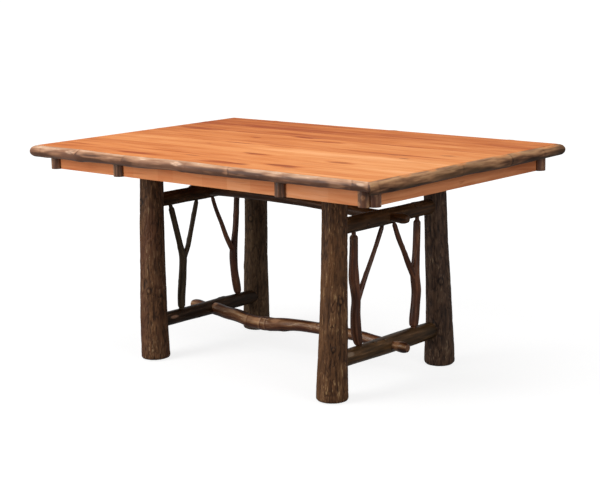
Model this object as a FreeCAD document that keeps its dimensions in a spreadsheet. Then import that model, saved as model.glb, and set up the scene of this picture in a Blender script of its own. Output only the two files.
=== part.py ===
import FreeCAD, Part
import math
import os
import re

import Sketcher

# Rustic hickory table: a top of edge glued boards, trimmed with half round saplings, on two
# trestles of bark covered logs. Each trestle has two legs, two rails and two forked twigs, and
# two stretchers tie the trestles together. Millimetres, +Z up, +X along the table. The origin is
# on the floor under the middle of the top.

driving_sizes = {
    # Top boards
    "top_height": 762,
    "top_length": 1504,
    "top_width": 980,
    "top_thickness": 28,
    "top_edge_ease": 3,
    # Half round trim on the boards' edges
    "trim_radius": 19.5,
    "trim_drop": 4,
    # Apron boards, the half round posts on them and the blocks in their corners
    "apron_end_setback": 32,
    "apron_side_setback": 40,
    "apron_depth": 56,
    "apron_thickness": 20,
    "post_radius": 20,
    "middle_post_spacing": 740,
    "corner_block_side": 70,
    "corner_block_depth": 40,
    # Cleats under the boards
    "cleat_width": 110,
    "cleat_thickness": 32,
    "cleat_end_gap": 2,
    # Legs
    "trestle_spacing": 830,
    "foot_spacing": 560,
    "leg_top_spacing": 514,
    "foot_radius": 50,
    "foot_round": 12,
    "leg_tenon_radius": 20,
    "leg_tenon_length": 22,
    # Rails from leg to leg
    "upper_rail_drop_left": 139,
    "upper_rail_drop_right": 147,
    "lower_rail_height_left": 131,
    "lower_rail_height_right": 125,
    "upper_rail_radius_left": 24.5,
    "upper_rail_radius_right": 26,
    "lower_rail_radius_left": 25,
    "lower_rail_radius_right": 29,
    "rail_tenon_radius": 15,
    # Stretchers from trestle to trestle
    "upper_stretcher_radius": 17,
    "lower_stretcher_radius": 20,
    "upper_stretcher_tenon_radius": 13,
    "lower_stretcher_tenon_radius": 15.5,
    "upper_stretcher_stub": 64,
    "lower_stretcher_stub_left": 70,
    "lower_stretcher_stub_right": 55,
    "stretcher_shoulder": 8,
    "stub_round": 3,
    # Forked twigs between the rails
    "twig_radius": 14,
    "twig_foot_tenon_radius": 9,
    "twig_tip_tenon_radius": 6.5,
    "branch_tenon_radius": 5,
    "twig_tenon_depth": 12,
    "twig_foot_neck": 2,
    "twig_tip_neck": 9,
    "twig_shoulder": 8,
    # Dowel pins and screws
    "pin_radius": 4,
    "pin_setback": 15,
    "pin_bite": 6,
    "screw_radius": 2.5,
    "screw_head_radius": 4.5,
    "screw_head_height": 3,
    "screw_bite": 18,
    "screw_offset": 36,
    # Clearances
    "fit_clearance": 0.2,
    "seat_gap": 0.3,
    "cope_gap": 0.6,
    "cut_overrun": 6,
}

# Each board's two long edges, as shares of the top's width, from the front
board_edge_shares = (0, 0.128, 0.268, 0.428, 0.538, 0.665, 0.79, 0.898, 1)

# Place along the trim, from one corner to the other, and radius
front_trim_shares = (
    (-1, 0.97), (-0.78, 0.95), (-0.69, 1), (-0.62, 0.93), (-0.38, 0.86), (-0.32, 0.88),
    (-0.05, 0.8), (0.02, 0.84), (0.25, 0.79), (0.5, 0.76), (0.71, 0.74), (0.88, 0.7), (1, 0.68),
)
back_trim_shares = (
    (-1, 0.84), (-0.7, 0.9), (-0.4, 0.96), (-0.12, 1), (0.1, 0.93), (0.45, 0.9), (0.8, 0.96), (1, 0.98),
)
left_trim_shares = ((-1, 0.95), (-0.6, 0.98), (-0.25, 1), (0.1, 0.94), (0.5, 0.96), (1, 0.97))
right_trim_shares = (
    (-1, 0.94), (-0.8, 0.99), (-0.4, 0.95), (0, 0.93), (0.3, 1), (0.6, 0.95), (1, 0.9),
)

# Height up the leg over its own, radius over the foot's, and how far the log's middle wanders from a
# straight line over the foot's radius: to the leg's right, and towards the trestle's other leg
leg_shares = {
    "front_left": (
        (0, 1, -0.02, 0), (0.1, 0.965, -0.08, 0), (0.24, 0.93, -0.165, 0), (0.38, 0.89, -0.18, 0),
        (0.52, 0.858, -0.185, 0), (0.68, 0.84, -0.195, 0), (0.84, 0.803, -0.17, 0), (1, 0.785, -0.16, 0),
    ),
    "back_left": (
        (0, 1, 0.28, 0.56), (0.1, 0.96, 0.26, 0.5), (0.24, 0.915, 0.23, 0.41), (0.38, 0.868, 0.2, 0.33),
        (0.52, 0.838, 0.176, 0.2), (0.68, 0.825, 0.144, 0.09), (0.84, 0.8, 0.11, 0.02),
        (1, 0.775, 0.08, -0.03),
    ),
    "front_right": (
        (0, 1.03, -0.045, 0), (0.1, 0.975, -0.04, 0), (0.24, 0.92, 0.01, 0), (0.38, 0.875, 0.045, 0),
        (0.52, 0.835, 0.06, 0), (0.68, 0.803, 0.085, 0), (0.84, 0.787, 0.085, 0), (1, 0.77, 0.08, 0),
    ),
    "back_right": (
        (0, 1.03, -0.05, 0), (0.1, 0.99, -0.09, 0), (0.24, 0.89, -0.135, 0), (0.38, 0.838, -0.135, 0),
        (0.52, 0.795, -0.09, 0), (0.68, 0.765, -0.055, 0), (0.84, 0.75, -0.05, 0), (1, 0.74, -0.05, 0),
    ),
}

# Rise up the leg's eased foot, and how far the log is drawn in there, both over the foot's rounding
foot_round_shares = ((0, 1), (0.13, 0.5), (0.5, 0.13), (1, 0))

# Place along the rail, from leg to leg, and radius
rail_shares = {
    "upper_left": ((-1, 1), (-0.6, 1), (-0.2, 1.02), (0.15, 1), (0.55, 0.96), (1, 0.98)),
    "lower_left": ((-1, 1), (-0.55, 0.97), (-0.1, 1), (0.3, 1.03), (0.7, 1), (1, 0.96)),
    "upper_right": ((-1, 0.97), (-0.5, 1.02), (-0.1, 1.03), (0.25, 0.98), (0.7, 0.96), (1, 0.97)),
    "lower_right": ((-1, 0.89), (-0.7, 0.92), (-0.2, 0.99), (0.2, 1.03), (0.6, 1.02), (1, 1)),
}

# Place along the stretcher over the trestle spacing, then side and height drift and radius over
# the stretcher's own radius
stretcher_shares = {
    "upper": (
        (-0.4, 0.1, 0.35, 0.97), (-0.25, 0.2, 0.6, 1.02), (-0.05, 0.1, 0.7, 1), (0.15, -0.1, 0.6, 0.98),
        (0.3, -0.15, 0.35, 1), (0.4, -0.1, 0.15, 1.03),
    ),
    "lower": (
        (-0.407, 0, -0.38, 1.11), (-0.33, -0.05, -0.52, 1.12), (-0.26, -0.1, -0.88, 1.13),
        (-0.188, -0.15, -0.89, 1.16), (-0.12, -0.2, -0.69, 1.15), (-0.06, -0.18, -0.31, 1.1),
        (0.02, -0.1, 0.06, 1), (0.123, 0, 0.26, 0.99), (0.253, 0.1, 0.35, 0.96), (0.38, 0.05, 0.33, 0.94),
    ),
}

# Where a stretcher's tenon starts and ends, over the rail's radius, and its stub's tip over the tenon
clear_of_rail = 1.05
stub_taper = 0.93

# A forked twig's stem and branch in its trestle's plane: side place over the space from the
# trestle's middle to its legs, height from the lower rail's top to the upper rail's underside, and
# radius over the twig's own
twig_shares = {
    "front_left": {
        "stem": (
            (-0.537, 0, 0.9), (-0.534, 0.102, 0.99), (-0.506, 0.293, 1.01), (-0.494, 0.397, 0.95),
            (-0.487, 0.468, 0.99), (-0.535, 0.601, 0.77), (-0.579, 0.712, 0.74), (-0.698, 1, 0.71),
        ),
        "branch": (
            (-0.477, 0.46, 0.67), (-0.387, 0.591, 0.59), (-0.348, 0.677, 0.55), (-0.251, 0.897, 0.56),
            (-0.205, 1, 0.54),
        ),
    },
    "back_left": {
        "stem": (
            (0.515, 0, 0.9), (0.502, 0.063, 1.01), (0.465, 0.246, 0.96), (0.463, 0.408, 1.03),
            (0.5, 0.559, 0.84), (0.521, 0.633, 0.77), (0.585, 1, 0.68),
        ),
        "branch": (
            (0.449, 0.444, 0.67), (0.351, 0.57, 0.59), (0.254, 0.732, 0.51), (0.152, 0.889, 0.49),
            (0.096, 1, 0.45),
        ),
    },
    "front_right": {
        "stem": (
            (-0.529, 0, 0.96), (-0.564, 0.069, 1.14), (-0.595, 0.267, 1.15), (-0.585, 0.421, 1.06),
            (-0.603, 0.509, 1.09), (-0.623, 0.603, 1.14), (-0.629, 0.688, 1.06), (-0.624, 0.885, 0.94),
            (-0.627, 1, 0.91),
        ),
        "branch": (
            (-0.562, 0.389, 0.68), (-0.462, 0.523, 0.61), (-0.396, 0.603, 0.55), (-0.234, 0.795, 0.48),
            (-0.073, 1, 0.47),
        ),
    },
    "back_right": {
        "stem": (
            (0.507, 0, 1), (0.52, 0.064, 1.13), (0.559, 0.229, 1.09), (0.576, 0.315, 1.09),
            (0.559, 0.483, 1.09), (0.586, 0.643, 0.89), (0.628, 1, 0.83),
        ),
        "branch": (
            (0.531, 0.464, 0.69), (0.419, 0.616, 0.64), (0.363, 0.693, 0.56), (0.231, 0.869, 0.55),
            (0.153, 1, 0.57),
        ),
    },
}

# How many flats stand for each round form
leg_sides = 16
log_sides = 14
limb_sides = 12
stem_sides = 10
branch_sides = 8
tenon_sides = 10
half_round_sides = 10
screw_sides = 6
pin_sides = 4

document = FreeCAD.newDocument("hickory_table")
sheet = document.addObject("Spreadsheet::Sheet", "sizes")
size = dict(driving_sizes)
sides = {"left": -1, "right": 1}
ends = {"front": -1, "back": 1}
levels = ("upper", "lower")


def along(low, high, share):
    return low + (high - low) * share


def lean_at(height):
    """How far a leg's axis has moved towards the middle at a height."""
    return size["leg_lean"] * height / size["leg_height"]


def leg_at(corner, height):
    """The log's radius at a height, and how far its middle stands there to the leg's right and inwards."""
    rows = leg_shares[corner]
    share_up = height / size["leg_height"]
    for low, high in zip(rows, rows[1:]):
        if share_up <= high[0]:
            break
    share = (share_up - low[0]) / (high[0] - low[0])
    between = [along(before, after, share) for before, after in zip(low[1:], high[1:])]
    radius, right, inward = [size["foot_radius"] * value for value in between]
    return radius, right, lean_at(height) + inward


def cope_at(corner, height, half_depth):
    """The radius round the log's middle, at a rail's height, that clears the log over the rail's depth."""
    _, right, inward = leg_at(corner, height)
    widest = 0
    for level in (height - half_depth, height + half_depth):
        radius, right_there, inward_there = leg_at(corner, level)
        widest = max(widest, radius + math.hypot(right_there - right, inward_there - inward))
    return widest + size["cope_gap"]


def work_out_sizes():
    """Add the sizes that follow from the driving ones."""
    size["leg_height"] = size["top_height"] - size["top_thickness"] - size["cleat_thickness"]
    size["leg_lean"] = (size["foot_spacing"] - size["leg_top_spacing"]) / 2
    size["apron_length"] = size["top_length"] - 2 * size["apron_end_setback"]
    size["apron_width"] = size["top_width"] - 2 * size["apron_side_setback"]
    size["apron_bottom"] = size["top_height"] - size["top_thickness"] - size["apron_depth"]
    size["cleat_reach"] = size["apron_width"] / 2 - size["apron_thickness"] - size["cleat_end_gap"]
    for side in sides:
        size[f"upper_rail_height_{side}"] = size["leg_height"] - size[f"upper_rail_drop_{side}"]
        for end in ends:
            corner = f"{end}_{side}"
            _, right, inward = leg_at(corner, size["leg_height"])
            size[f"leg_top_x_{corner}"] = -ends[end] * right
            size[f"leg_top_y_{corner}"] = ends[end] * (size["foot_spacing"] / 2 - inward)
        for level in levels:
            height = size[f"{level}_rail_height_{side}"]
            size[f"{level}_rail_reach_{side}"] = size["foot_spacing"] / 2 - lean_at(height)
            for end in ends:
                corner = f"{end}_{side}"
                _, right, inward = leg_at(corner, height)
                size[f"{level}_cope_{corner}"] = cope_at(corner, height, size[f"{level}_rail_radius_{side}"])
                size[f"{level}_leg_x_{corner}"] = -ends[end] * right
                size[f"{level}_leg_y_{corner}"] = ends[end] * (size["foot_spacing"] / 2 - inward)
    for number in range(1, len(board_edge_shares)):
        front = size["top_width"] * (board_edge_shares[number - 1] - 0.5)
        back = size["top_width"] * (board_edge_shares[number] - 0.5)
        size[f"board_front_{number}"] = front
        size[f"board_width_{number}"] = back - front
        covered_front = max(front, -size["cleat_reach"])
        covered_back = min(back, size["cleat_reach"])
        size[f"board_screw_{number}"] = (covered_front + covered_back) / 2


def fill_sheet():
    for row, (name, value) in enumerate(size.items(), start=1):
        sheet.set(f"A{row}", name)
        sheet.set(f"B{row}", repr(value))
        sheet.setAlias(f"B{row}", name)
    document.recompute()


def formula(words):
    """Point every size named in a formula at its cell."""
    return re.sub("[a-z][a-z_0-9]*", lambda word: f"sizes.{word[0]}" if word[0] in size else word[0], words)


def bind(thing, path, words):
    thing.setExpression(path, formula(words))


def new_body(name):
    body = document.addObject("PartDesign::Body", name)
    body.Label = name
    return body


def place(thing, across, deep, up, turn=0):
    """Stand a sub-part at its place, turned about the upright."""
    thing.Placement = FreeCAD.Placement(FreeCAD.Vector(), FreeCAD.Rotation(FreeCAD.Vector(0, 0, 1), turn))
    bind(thing, "Placement.Base.x", across)
    bind(thing, "Placement.Base.y", deep)
    bind(thing, "Placement.Base.z", up)


def new_sketch(body, name, plane, right="0", up="0", out="0"):
    """A sketch on one of the body's origin planes, moved right, up and out of that plane."""
    sketch = body.newObject("Sketcher::SketchObject", f"{body.Name}_{name}")
    features = body.Origin.OriginFeatures
    sketch.AttachmentSupport = [(next(feature for feature in features if feature.Role == plane), "")]
    sketch.MapMode = "FlatFace"
    bind(sketch, "AttachmentOffset.Base.x", right)
    bind(sketch, "AttachmentOffset.Base.y", up)
    bind(sketch, "AttachmentOffset.Base.z", out)
    return sketch


def add_round(sketch, radius, sides, right="0", up="0"):
    """A round outline drawn with flats, with its first corner to the right of its centre."""
    corner_shares = [(math.cos(math.tau * n / sides), math.sin(math.tau * n / sides)) for n in range(sides)]
    add_corners(sketch, radius, corner_shares, right, up)


def add_half_round(sketch, radius, first_turn):
    """A half round drawn with flats, its wide side through the sketch's origin."""
    turns = [first_turn + math.pi * n / half_round_sides for n in range(half_round_sides + 1)]
    corner_shares = [(math.cos(turn), math.sin(turn)) for turn in turns]
    add_corners(sketch, radius, corner_shares, "0", "0")


def add_corners(sketch, radius, corner_shares, right, up):
    """An outline whose corners are given as shares of its radius, round a place in the sketch."""
    points = [(f"{right} + {x:.6f} * ({radius})", f"{up} + {y:.6f} * ({radius})") for x, y in corner_shares]
    add_polygon(sketch, points)


def add_polygon(sketch, points):
    """A closed outline whose corners are each held by two formulas."""
    spread = size["top_width"]
    corners = []
    for number in range(len(points)):
        turn = math.tau * number / len(points)
        corners.append(FreeCAD.Vector(spread * math.cos(turn), spread * math.sin(turn), 0))
    first = sketch.GeometryCount
    held = sketch.ConstraintCount
    constraints = []
    formulas = []
    for number, (corner, point) in enumerate(zip(corners, points)):
        line = first + number
        following = first + (number + 1) % len(points)
        sketch.addGeometry(Part.LineSegment(corner, corners[(number + 1) % len(points)]))
        constraints.append(Sketcher.Constraint("Coincident", line, 2, following, 1))
        for kind, words in zip(("DistanceX", "DistanceY"), point):
            formulas.append((held + len(constraints), words))
            constraints.append(Sketcher.Constraint(kind, -1, 1, line, 1, spread))
    sketch.addConstraint(constraints)
    for index, words in formulas:
        bind(sketch, f"Constraints[{index}]", words)


def pad(body, sketch, length, both_ways=False):
    feature = body.newObject("PartDesign::Pad", f"{sketch.Name}_pad")
    feature.Profile = sketch
    feature.Refine = False
    bind(feature, "Length", length)
    if both_ways:
        feature.SideType = "Symmetric"
    return feature


def pocket(body, sketch, length=None, along_normal=False):
    """Cut against the sketch's normal, along it, or right through where no length is given."""
    feature = body.newObject("PartDesign::Pocket", f"{sketch.Name}_pocket")
    feature.Profile = sketch
    feature.Refine = False
    if length is None:
        feature.Type = "ThroughAll"
        feature.SideType = "Symmetric"
    else:
        bind(feature, "Length", length)
        feature.Reversed = along_normal
    return feature


def loft(body, sections, name):
    feature = body.newObject("PartDesign::AdditiveLoft", f"{body.Name}_{name}")
    feature.Profile = sections[0]
    feature.Sections = sections[1:]
    feature.Ruled = True
    return feature


def make_boards():
    """The top: boards glued edge to edge, with the outer top edges eased."""
    last = len(board_edge_shares) - 1
    for number in range(1, last + 1):
        body = new_body(f"top_board_{number}")
        width = f"board_width_{number}"
        outline = new_sketch(body, "outline", "XY_Plane")
        half = "top_length / 2"
        add_polygon(outline, (("-" + half, "0"), (half, "0"), (half, width), ("-" + half, width)))
        slab = pad(body, outline, "top_thickness")
        document.recompute()
        eased = []
        for index, edge in enumerate(slab.Shape.Edges, start=1):
            box = edge.BoundBox
            on_top = box.ZMin > size["top_thickness"] / 2
            across_end = box.XLength < size["top_edge_ease"]
            outer_long = (number == 1 and box.YMax < size["top_edge_ease"]) or (
                number == last and box.YMin > size[width] - size["top_edge_ease"]
            )
            if on_top and (across_end or outer_long):
                eased.append(f"Edge{index}")
        ease = body.newObject("PartDesign::Chamfer", f"{body.Name}_eased")
        ease.Base = (slab, eased)
        bind(ease, "Size", "top_edge_ease")
        holes = new_sketch(body, "screw_holes", "XY_Plane")
        for trestle in (-1, 0, 1):
            along_top = f"{trestle} * trestle_spacing / 2 + screw_offset"
            across_board = f"board_screw_{number} - board_front_{number}"
            add_round(holes, "screw_radius", screw_sides, along_top, across_board)
        pocket(body, holes, "screw_bite", along_normal=True)
        place(body, "0", f"board_front_{number}", "top_height - top_thickness")


def make_trim(name, shares, run, across, deep, turn):
    """A half round sapling along one edge of the boards, mitred at both corners."""
    body = new_body(name)
    sections = []
    for number, (place_share, radius_share) in enumerate(shares, start=1):
        radius = f"{radius_share} * trim_radius"
        place_along = f"{place_share} * ({run} / 2 + trim_radius)"
        section = new_sketch(body, f"section_{number}", "YZ_Plane", up="-" + radius, out=place_along)
        add_half_round(section, radius, math.pi / 2)
        sections.append(section)
    loft(body, sections, "sapling")
    mitres = new_sketch(body, "mitres", "XY_Plane")
    for sign in ("-", ""):
        add_polygon(
            mitres,
            (
                (f"{sign}({run} / 2 - cut_overrun)", "cut_overrun"),
                (f"{sign}({run} / 2 + trim_radius + cut_overrun)", "-trim_radius - cut_overrun"),
                (f"{sign}({run} / 2 + trim_radius + cut_overrun)", "cut_overrun"),
            ),
        )
    pocket(body, mitres)
    place(body, across, deep, "top_height - trim_drop", turn)


def make_apron(name, run, across, deep, turn):
    """One apron board on edge, its ends mitred."""
    body = new_body(name)
    outline = new_sketch(body, "outline", "XY_Plane")
    add_polygon(
        outline,
        (
            (f"-{run} / 2", "0"),
            (f"{run} / 2", "0"),
            (f"{run} / 2 - apron_thickness", "apron_thickness"),
            (f"apron_thickness - {run} / 2", "apron_thickness"),
        ),
    )
    pad(body, outline, "apron_depth")
    place(body, across, deep, "apron_bottom", turn)


def make_post(name, across, deep, turn):
    """A half round post with its flat side on the apron."""
    body = new_body(name)
    outline = new_sketch(body, "outline", "XY_Plane")
    add_half_round(outline, "post_radius", math.pi)
    pad(body, outline, "apron_depth")
    place(body, across, deep, "apron_bottom", turn)


def make_posts():
    long_places = ("post_radius - apron_length / 2", "-middle_post_spacing / 2", "middle_post_spacing / 2",
                   "apron_length / 2 - post_radius")
    for number, across in enumerate(long_places, start=1):
        make_post(f"post_front_{number}", across, "-apron_width / 2", 0)
        make_post(f"post_back_{number}", across, "apron_width / 2", 180)
    short_places = ("post_radius - apron_width / 2", "apron_width / 2 - post_radius")
    for number, deep in enumerate(short_places, start=1):
        make_post(f"post_left_{number}", "-apron_length / 2", deep, -90)
        make_post(f"post_right_{number}", "apron_length / 2", deep, 90)


def make_corner_block(name, across, deep, turn):
    """A glued triangular block inside one corner of the apron, up against the boards."""
    body = new_body(name)
    outline = new_sketch(body, "outline", "XY_Plane")
    add_polygon(outline, (("0", "0"), ("corner_block_side", "0"), ("0", "corner_block_side")))
    pad(body, outline, "corner_block_depth")
    place(body, across, deep, "top_height - top_thickness - corner_block_depth", turn)


def make_corner_blocks():
    across = "(apron_length / 2 - apron_thickness)"
    deep = "(apron_width / 2 - apron_thickness)"
    make_corner_block("corner_block_front_left", "-" + across, "-" + deep, 0)
    make_corner_block("corner_block_front_right", across, "-" + deep, 90)
    make_corner_block("corner_block_back_right", across, deep, 180)
    make_corner_block("corner_block_back_left", "-" + across, deep, 270)


def make_cleat(name, trestle):
    """A cleat across the boards, screwed up into each; the legs' top tenons enter the outer two."""
    body = new_body(name)
    outline = new_sketch(body, "outline", "XY_Plane")
    half = "cleat_width / 2"
    reach = "cleat_reach"
    add_polygon(outline, (("-" + half, "-" + reach), (half, "-" + reach), (half, reach), ("-" + half, reach)))
    pad(body, outline, "cleat_thickness")
    for number in range(1, len(board_edge_shares)):
        place_of_screw = ("screw_offset", f"board_screw_{number}")
        hole = new_sketch(body, f"screw_hole_{number}", "XY_Plane", *place_of_screw)
        add_round(hole, "screw_radius + fit_clearance", screw_sides)
        pocket(body, hole)
        head = new_sketch(body, f"screw_head_{number}", "XY_Plane", *place_of_screw)
        add_round(head, "screw_head_radius + fit_clearance", screw_sides)
        pocket(body, head, "screw_head_height", along_normal=True)
    for corner in [f"{end}_{side}" for side in sides for end in ends if sides[side] == trestle]:
        across, deep = f"leg_top_x_{corner}", f"leg_top_y_{corner}"
        mortise = new_sketch(body, f"leg_mortise_{corner}", "XY_Plane", across, deep)
        add_round(mortise, "leg_tenon_radius + fit_clearance", tenon_sides)
        pocket(body, mortise, "leg_tenon_length + seat_gap", along_normal=True)
        inner_end = f"{across} + leg_tenon_radius + pin_bite"
        pin_hole = new_sketch(body, f"pin_hole_{corner}", "YZ_Plane", deep, "leg_tenon_length / 2", inner_end)
        add_round(pin_hole, "pin_radius + fit_clearance", pin_sides)
        pocket(body, pin_hole, f"{inner_end} + cleat_width")
    place(body, f"{trestle} * trestle_spacing / 2", "0", "leg_height")


def make_leg(end, side):
    """A tapering log that leans in, eased at the foot, with a top tenon and two rail mortises.

    Its own +Y looks at the other leg of the trestle."""
    corner = f"{end}_{side}"
    body = new_body(f"leg_{corner}")
    _, radius, right, inward = leg_shares[corner][0]
    stations = []
    for rise_share, ease_share in foot_round_shares:
        girth = f"{radius} * foot_radius - {ease_share} * foot_round"
        stations.append((f"{rise_share} * foot_round", girth, right, inward))
    for height, radius, right, inward in leg_shares[corner][1:]:
        stations.append((f"{height} * leg_height", f"{radius} * foot_radius", right, inward))
    sections = []
    for number, (height, girth, right, inward) in enumerate(stations, start=1):
        lean = f"leg_lean * ({height}) / leg_height + {inward} * foot_radius"
        section = new_sketch(body, f"section_{number}", "XY_Plane", f"{right} * foot_radius", lean, height)
        add_round(section, girth, leg_sides)
        sections.append(section)
    loft(body, sections, "log")
    top = (f"{right} * foot_radius", f"leg_lean + {inward} * foot_radius")
    tenon = new_sketch(body, "tenon", "XY_Plane", *top, "leg_height")
    add_round(tenon, "leg_tenon_radius", tenon_sides)
    pad(body, tenon, "leg_tenon_length")
    tenon_pin = new_sketch(body, "tenon_pin", "YZ_Plane", top[1], "leg_height + leg_tenon_length / 2")
    add_round(tenon_pin, "pin_radius + fit_clearance", pin_sides)
    pocket(body, tenon_pin)
    for level in levels:
        height = f"{level}_rail_height_{side}"
        axis = f"(leg_lean * {height} / leg_height)"
        mortise = new_sketch(body, f"{level}_mortise", "XZ_Plane", up=height, out="-" + axis)
        add_round(mortise, "rail_tenon_radius + fit_clearance", tenon_sides)
        pocket(body, mortise, "2 * foot_radius")
        inner_end = f"{-ends[end]} * (rail_tenon_radius + pin_bite)"
        pin_hole = new_sketch(body, f"{level}_pin", "YZ_Plane", f"{axis} + pin_setback", height, inner_end)
        add_round(pin_hole, "pin_radius + fit_clearance", pin_sides)
        pocket(body, pin_hole, "2 * foot_radius", ends[end] > 0)
    turn = 0 if end == "front" else 180
    place(body, f"{sides[side]} * trestle_spacing / 2", f"{ends[end]} * foot_spacing / 2", "0", turn)


def twig_path(end, side, limb):
    """A limb's points in its trestle's plane, from foot to tip, each with its radius."""
    low = size[f"lower_rail_height_{side}"] + size[f"lower_rail_radius_{side}"]
    high = size[f"upper_rail_height_{side}"] - size[f"upper_rail_radius_{side}"]
    path = []
    for across, height, radius in twig_shares[f"{end}_{side}"][limb]:
        room = along(size[f"lower_rail_reach_{side}"], size[f"upper_rail_reach_{side}"], height)
        point = FreeCAD.Vector(0, across * room, along(low, high, height))
        path.append((point, radius * size["twig_radius"]))
    return path


def twig_tenons(end, side):
    """Each tenon of a twig: where it meets the rail, its way into the wood, its radius and its rail."""
    stem = twig_path(end, side, "stem")
    branch = twig_path(end, side, "branch")
    meetings = (
        (stem[0][0], stem[1][0], size["twig_foot_tenon_radius"], "lower"),
        (stem[-1][0], stem[-2][0], size["twig_tip_tenon_radius"], "upper"),
        (branch[-1][0], branch[-2][0], size["branch_tenon_radius"], "upper"),
    )
    tenons = []
    for mouth, before, radius, level in meetings:
        tenons.append((mouth, (mouth - before).normalize(), radius, level))
    return tenons


def turned_to(direction):
    """The turn that brings the upright onto a direction."""
    return FreeCAD.Rotation(FreeCAD.Vector(0, 0, 1), direction)


def make_rail(level, side):
    """A log from leg to leg, coped to both, with turned tenons and mortises for twigs and stretcher."""
    body = new_body(f"rail_{level}_{side}")
    reach = f"{level}_rail_reach_{side}"
    radius = f"{level}_rail_radius_{side}"
    sections = []
    for number, (place_share, radius_share) in enumerate(rail_shares[f"{level}_{side}"], start=1):
        section = new_sketch(body, f"section_{number}", "XZ_Plane", out=f"{-place_share} * {reach}")
        add_round(section, f"{radius_share} * {radius}", log_sides)
        sections.append(section)
    loft(body, sections, "log")
    copes = new_sketch(body, "copes", "XY_Plane")
    for corner in [f"{end}_{side}" for end in ends]:
        leg_middle = (f"{level}_leg_x_{corner}", f"{level}_leg_y_{corner}")
        add_round(copes, f"{level}_cope_{corner}", leg_sides, *leg_middle)
    pocket(body, copes)
    tenons = new_sketch(body, "tenons", "XZ_Plane")
    add_round(tenons, "rail_tenon_radius", tenon_sides)
    pad(body, tenons, f"2 * {reach}", both_ways=True)
    pin_holes = new_sketch(body, "pin_holes", "YZ_Plane")
    for sign in ends.values():
        deep = f"{sign} * ({reach} - pin_setback)"
        add_round(pin_holes, "pin_radius + fit_clearance", pin_sides, deep)
    pocket(body, pin_holes)
    through = new_sketch(body, "stretcher_mortise", "YZ_Plane")
    add_round(through, f"{level}_stretcher_tenon_radius + fit_clearance", limb_sides)
    pocket(body, through)
    centre = FreeCAD.Vector(0, 0, size[f"{level}_rail_height_{side}"])
    for end in ends:
        for number, (mouth, inward, radius, tenon_level) in enumerate(twig_tenons(end, side), start=1):
            if tenon_level != level:
                continue
            sketch = new_sketch(body, f"twig_mortise_{end}_{number}", "XY_Plane")
            for axis in "xyz":
                sketch.setExpression(f"AttachmentOffset.Base.{axis}", None)
            bottom = mouth + inward * size["twig_tenon_depth"] - centre
            sketch.AttachmentOffset = FreeCAD.Placement(bottom, turned_to(inward))
            which = ("twig_foot", "twig_tip", "branch")[number - 1]
            add_round(sketch, f"{which}_tenon_radius + fit_clearance", branch_sides)
            pocket(body, sketch, "twig_tenon_depth + cut_overrun")
    place(body, f"{sides[side]} * trestle_spacing / 2", "0", f"{level}_rail_height_{side}")


def ring(point, direction, radius, sides):
    """A round outline square to a limb, drawn with flats, whose first corner keeps to one side."""
    turns = [math.tau * number / sides for number in range(sides)]
    corners = [FreeCAD.Vector(radius * math.cos(turn), radius * math.sin(turn), 0) for turn in turns]
    outline = Part.makePolygon(corners + corners[:1])
    outline.Placement = FreeCAD.Placement(point, turned_to(direction))
    return outline


def peg(radius, length, start, direction, sides):
    """A straight round peg from its start along a direction in the upright plane."""
    return Part.Face(ring(start, direction, radius, sides)).extrude(direction * length)


def limb_solid(path, foot_tenon, tip_tenon, sides):
    """A bent, tapering limb; an end with a tenon draws in to it over a short shoulder."""
    rings = []
    last = len(path) - 1
    for number, (point, radius) in enumerate(path):
        before = path[max(number - 1, 0)][0]
        after = path[min(number + 1, last)][0]
        direction = (after - before).normalize()
        tenon = {0: foot_tenon, last: tip_tenon}.get(number)
        if not tenon:
            rings.append(ring(point, direction, radius, sides))
            continue
        inner = direction if number == 0 else -direction
        reach = size["twig_foot_neck"] if number == 0 else size["twig_tip_neck"]
        neck = ring(point + inner * reach, direction, tenon, sides)
        shoulder = ring(point + inner * (reach + size["twig_shoulder"]), direction, radius, sides)
        rings.extend((neck, shoulder) if number == 0 else (shoulder, neck))
    return Part.makeLoft(rings, True, True)


def make_twig(end, side):
    """A forked twig, grown in one piece, with a tenon at its foot and one at each tip."""
    foot, tip = size["twig_foot_tenon_radius"], size["twig_tip_tenon_radius"]
    stem = limb_solid(twig_path(end, side, "stem"), foot, tip, stem_sides)
    branch = limb_solid(twig_path(end, side, "branch"), None, size["branch_tenon_radius"], branch_sides)
    tenons = []
    for mouth, inward, radius, level in twig_tenons(end, side):
        neck = size["twig_foot_neck"] if level == "lower" else size["twig_tip_neck"]
        outside = neck + size["twig_shoulder"] / 2
        start = mouth - inward * outside
        tenons.append(peg(radius, outside + size["twig_tenon_depth"], start, inward, branch_sides))
    twig = document.addObject("Part::Feature", f"twig_{end}_{side}")
    twig.Label = f"twig_{end}_{side}"
    twig.Shape = stem.fuse([branch] + tenons).removeSplitter()
    place(twig, f"{sides[side]} * trestle_spacing / 2", "0", "0")


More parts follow.
